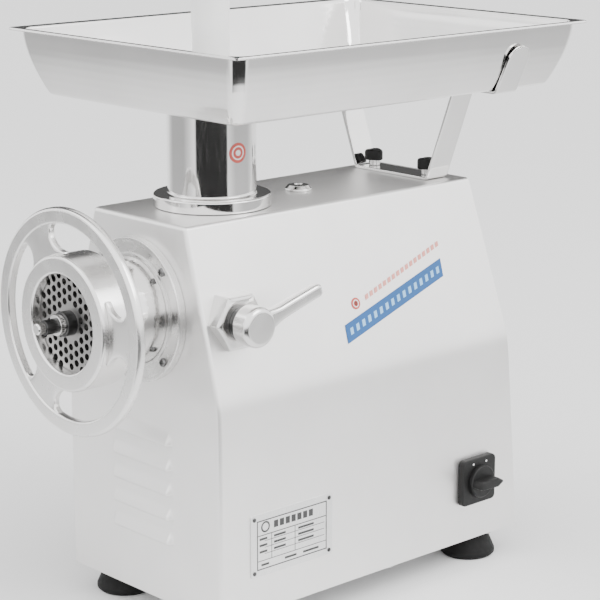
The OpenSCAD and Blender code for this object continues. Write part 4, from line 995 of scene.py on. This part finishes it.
disc = turned([(3.6, 0), (5.2, 0), (5.2, 0.2), (3.6, 0.2)],
              (half_width + 0.9 * MM, plate_y + 17 * MM, plate_z + 45.2 * MM), "x", 32, 0.03, True)
piece("data_plate_ring", [disc], "root", ink_black)
rivets = [turned([(0, 1.1), (1.3, 0.9), (2.5, 0), (0, 0)],
                 (half_width + 1 * MM, plate_y + a * MM, plate_z + b * MM), "x", 24, 0.3)
          for a in (4, W - 4) for b in (4, H - 4)]
piece("data_plate_rivets", rivets, "root", dark_steel)
print("plate", round(W), "x", round(H), "mm")

# %% [markdown]
# ## Printed band on the slope
# A slanting blue band with a row of pale marks lies on the sloping side, and a thin rose
# line with a small red disc runs above it. The marks are plain bars, with no lettering.
# Every strip is a parallelogram laid on the slope, 0.15 mm thick.

# %% Band
slope_normal = np.array([1, 0, slope]) / slope_k


def on_slope(corners_yz, lift=0.1, thick=0.15):
    """A flat tile on the slope from (y, z) corners: x follows the slope at each height."""
    loop = np.array(corners_yz)
    x = half_width - (loop[:, 1] - bend_z) * slope
    base = np.stack([x, loop[:, 0], loop[:, 1]], -1)
    rows_ = np.stack([base + slope_normal * lift * MM, base + slope_normal * (lift + thick) * MM])
    return bar(rows_)


def band(y0, z0, y1, z1, height, share0=0.0, share1=1.0, low=0.0, high=1.0):
    """A slanting strip from (y0, z0) to (y1, z1), or the share of it that is asked for."""
    ya, yb = y0 + (y1 - y0) * share0, y0 + (y1 - y0) * share1
    za, zb = z0 + (z1 - z0) * share0, z0 + (z1 - z0) * share1
    return [(ya, za + height * low), (yb, zb + height * low),
            (yb, zb + height * high), (ya, za + height * high)]


blue_run = (front + 0.160, 0.252, front + 0.295, 0.292, 0.0165)
piece("band_blue", [on_slope(band(*blue_run))], "root", ink_blue)
mark_starts = np.linspace(0.04, 0.94, 16)
piece("band_marks", [on_slope(band(*blue_run, s, s + 0.028, 0.32, 0.68), 0.2)
                     for s in mark_starts], "root", ink_sky)
rose_run = (front + 0.191, 0.286, front + 0.296, 0.320, 0.0045)
piece("band_rose_dashes", [on_slope(band(*rose_run, s, s + 0.038))
                           for s in np.linspace(0, 0.96, 17)], "root", ink_rose)


def slope_disc(y0, z0, outer, inner, lift, name, material):
    """A flat ring on the slope: polar grid, with height measured along the slope."""
    t = np.linspace(0, 2 * np.pi, 32, endpoint=False)
    radius = np.array([inner, outer])[:, None] * MM
    y = y0 + radius * np.cos(t)
    z = z0 + radius * np.sin(t) / slope_k
    base = np.stack([half_width - (z - bend_z) * slope, y, z], -1)
    grid = np.concatenate([base + slope_normal * lift * MM,
                           base[::-1] + slope_normal * (lift + 0.15) * MM])
    return piece(name, [(grid, True, True)], "root", material)


slope_disc(front + 0.178, 0.285, 5.4, 0.001, 0.1, "band_disc", ink_red)
slope_disc(front + 0.178, 0.285, 3.6, 2.6, 0.2, "band_disc_ring", ink_white)
print("band length", round((blue_run[2] - blue_run[0]) / MM), "mm")

# %% [markdown]
# ## Feet
# Each rubber foot is a cone that widens downwards, with a small rounded edge where it
# meets the worktop.

# %% Feet
feet_low, feet_high = corners("rubber_feet")
foot_r = 27
foot_x = feet_high[0] - foot_r * MM
foot_ys = (feet_low[1] + foot_r * MM, feet_high[1] - foot_r * MM)
foot_top = feet_high[2] / MM
foot_profile = [(0, 0), (24.5, 0), (foot_r, 2.6), (foot_r, 5.6), (17, foot_top - 1),
                (0, foot_top - 1)]
feet = [turned(foot_profile, (x, y, 0), "z", 64, [0, 1, 1, 1, 1, 0])
        for x in (-foot_x, foot_x) for y in foot_ys]
piece("feet_moulded", feet, "root", rubber, ("rubber_feet",))
print("feet", len(feet))

# %% [markdown]
# ## Studio
# Steel shows the room round it. The floor is pale near the machine, the sky is white and
# two soft lamps light the scene, but neither floor nor sky is plain all round. Farther off
# the floor has one nearly black patch and two grey ones. These are painted shade in the
# floor's colour, standing in for dark cloths that the polished parts reflect for their
# contrast. The sky has one wide dark patch and one small one, which act the same way. A view
# that looks towards one of them shows it.

# %% Masks
def vector_node(tree, operation):
    """A node for one sum on vectors."""
    node = tree.nodes.new("ShaderNodeVectorMath")
    node.operation = operation
    return node


def mixed(tree, value, dark, light):
    """A colour between two greys, chosen by a value from 0 to 1."""
    mix = tree.nodes.new("ShaderNodeMix")
    mix.data_type = "RGBA"
    mix.inputs["A"].default_value = (*grey(dark), 1)
    mix.inputs["B"].default_value = (*grey(light), 1)
    tree.links.new(value, mix.inputs["Factor"])
    return mix.outputs["Result"]


def cone_mask(tree, vector, axis, edge, soft):
    """1 outside a cone round an axis and 0 inside it, from the vector's own direction:
    the direction's dot product with the axis is the cosine of the angle between them."""
    unit = vector_node(tree, "NORMALIZE")
    dot = vector_node(tree, "DOT_PRODUCT")
    dot.inputs[1].default_value = axis
    tree.links.new(vector, unit.inputs[0])
    tree.links.new(unit.outputs["Vector"], dot.inputs[0])
    inner, outer = math.cos(math.radians(edge - soft)), math.cos(math.radians(edge + soft))
    return spread(tree, dot.outputs["Value"], 0, 1, inner, outer)


def product(tree, first, second, value=1.0):
    """Product of two colours, or of a colour and a grey value."""
    node = vector_node(tree, "MULTIPLY")
    tree.links.new(first, node.inputs[0])
    node.inputs[1].default_value = (value,) * 3
    if second is not None:
        tree.links.new(second, node.inputs[1])
    return node.outputs["Vector"]


# %% Floor
floor_mesh = bpy.data.meshes.new("floor")
floor_mesh.from_pydata([(-6, -6, 0), (6, -6, 0), (6, 6, 0), (-6, 6, 0)], [], [(0, 1, 2, 3)])
floor = bpy.data.objects.new("floor", floor_mesh)
floor_material, floor_tree, floor_shader = new_material("pale_floor")
place = floor_tree.nodes.new("ShaderNodeTexCoord").outputs["Object"]
distance = vector_node(floor_tree, "LENGTH")
floor_tree.links.new(place, distance.inputs[0])
FLOOR_GREY = 0.87
# Painted shade on the floor: each row darkens a sector of the floor to its grey, standing in for a
# dark cloth for the steel to reflect. A row holds the sector's direction, its edge and softness in
# degrees, the grey, and the distances where the darkening starts and where it is full.
FLOOR_SHADE_PATCHES = [((0.747, -0.665, 0), 40, 1.5, 0.02, 0.58, 0.72),
          ((0.747, 0.665, 0), 34, 14, 0.40, 0.45, 1.3),
          ((-0.722, -0.692, 0), 34, 14, 0.34, 0.60, 1.6)]
shade = None
for axis, edge, soft, value, start, full in FLOOR_SHADE_PATCHES:
    aside = cone_mask(floor_tree, place, axis, edge, soft)
    near = spread(floor_tree, distance.outputs["Value"], 1, 0, start, full)
    apart = floor_tree.nodes.new("ShaderNodeMath")
    apart.operation = "MAXIMUM"
    floor_tree.links.new(aside, apart.inputs[0])
    floor_tree.links.new(near, apart.inputs[1])
    tone = mixed(floor_tree, apart.outputs["Value"], value / FLOOR_GREY, 1)
    shade = tone if shade is None else product(floor_tree, shade, tone)
floor_color = product(floor_tree, shade, None, FLOOR_GREY)
floor_tree.links.new(floor_color, floor_shader.inputs["Base Color"])
floor_shader.inputs["Specular IOR Level"].default_value = 0
floor_shader.inputs["Roughness"].default_value = 0.6
floor_mesh.materials.append(floor_material)
scene.collection.objects.link(floor)

# %% Sky
world = bpy.data.worlds.new("studio")
scene.world = world
world.use_nodes = True
sky_tree = world.node_tree
background = sky_tree.nodes["Background"]
direction = sky_tree.nodes.new("ShaderNodeTexCoord").outputs["Generated"]
behind = mixed(sky_tree, cone_mask(sky_tree, direction, (-0.611, 0.545, 0.574), 45, 9), 0.04, 0.95)
before = mixed(sky_tree, cone_mask(sky_tree, direction, (-0.698, -0.629, 0.342), 15, 5), 0.05, 1)
sky_tree.links.new(product(sky_tree, behind, before), background.inputs["Color"])
background.inputs["Strength"].default_value = 3.0
print("sky strength", background.inputs["Strength"].default_value)


# %% Lamps
def lamp(name, place, aim, size, power):
    """A square soft lamp that looks from its place to its aim."""
    data = bpy.data.lights.new(name, "AREA")
    data.shape = "SQUARE"
    data.size = size
    data.energy = power
    made = bpy.data.objects.new(name, data)
    made.location = place
    made.rotation_euler = (Vector(aim) - Vector(place)).to_track_quat("-Z", "Y").to_euler()
    scene.collection.objects.link(made)


lamp("key", (1.6, 0.6, 1.8), (0, 0, 0.3), 1.2, 30)
lamp("fill", (-1.4, -1.6, 1.4), (0, 0, 0.3), 1.4, 12)
print("lamps", len(bpy.data.lights))
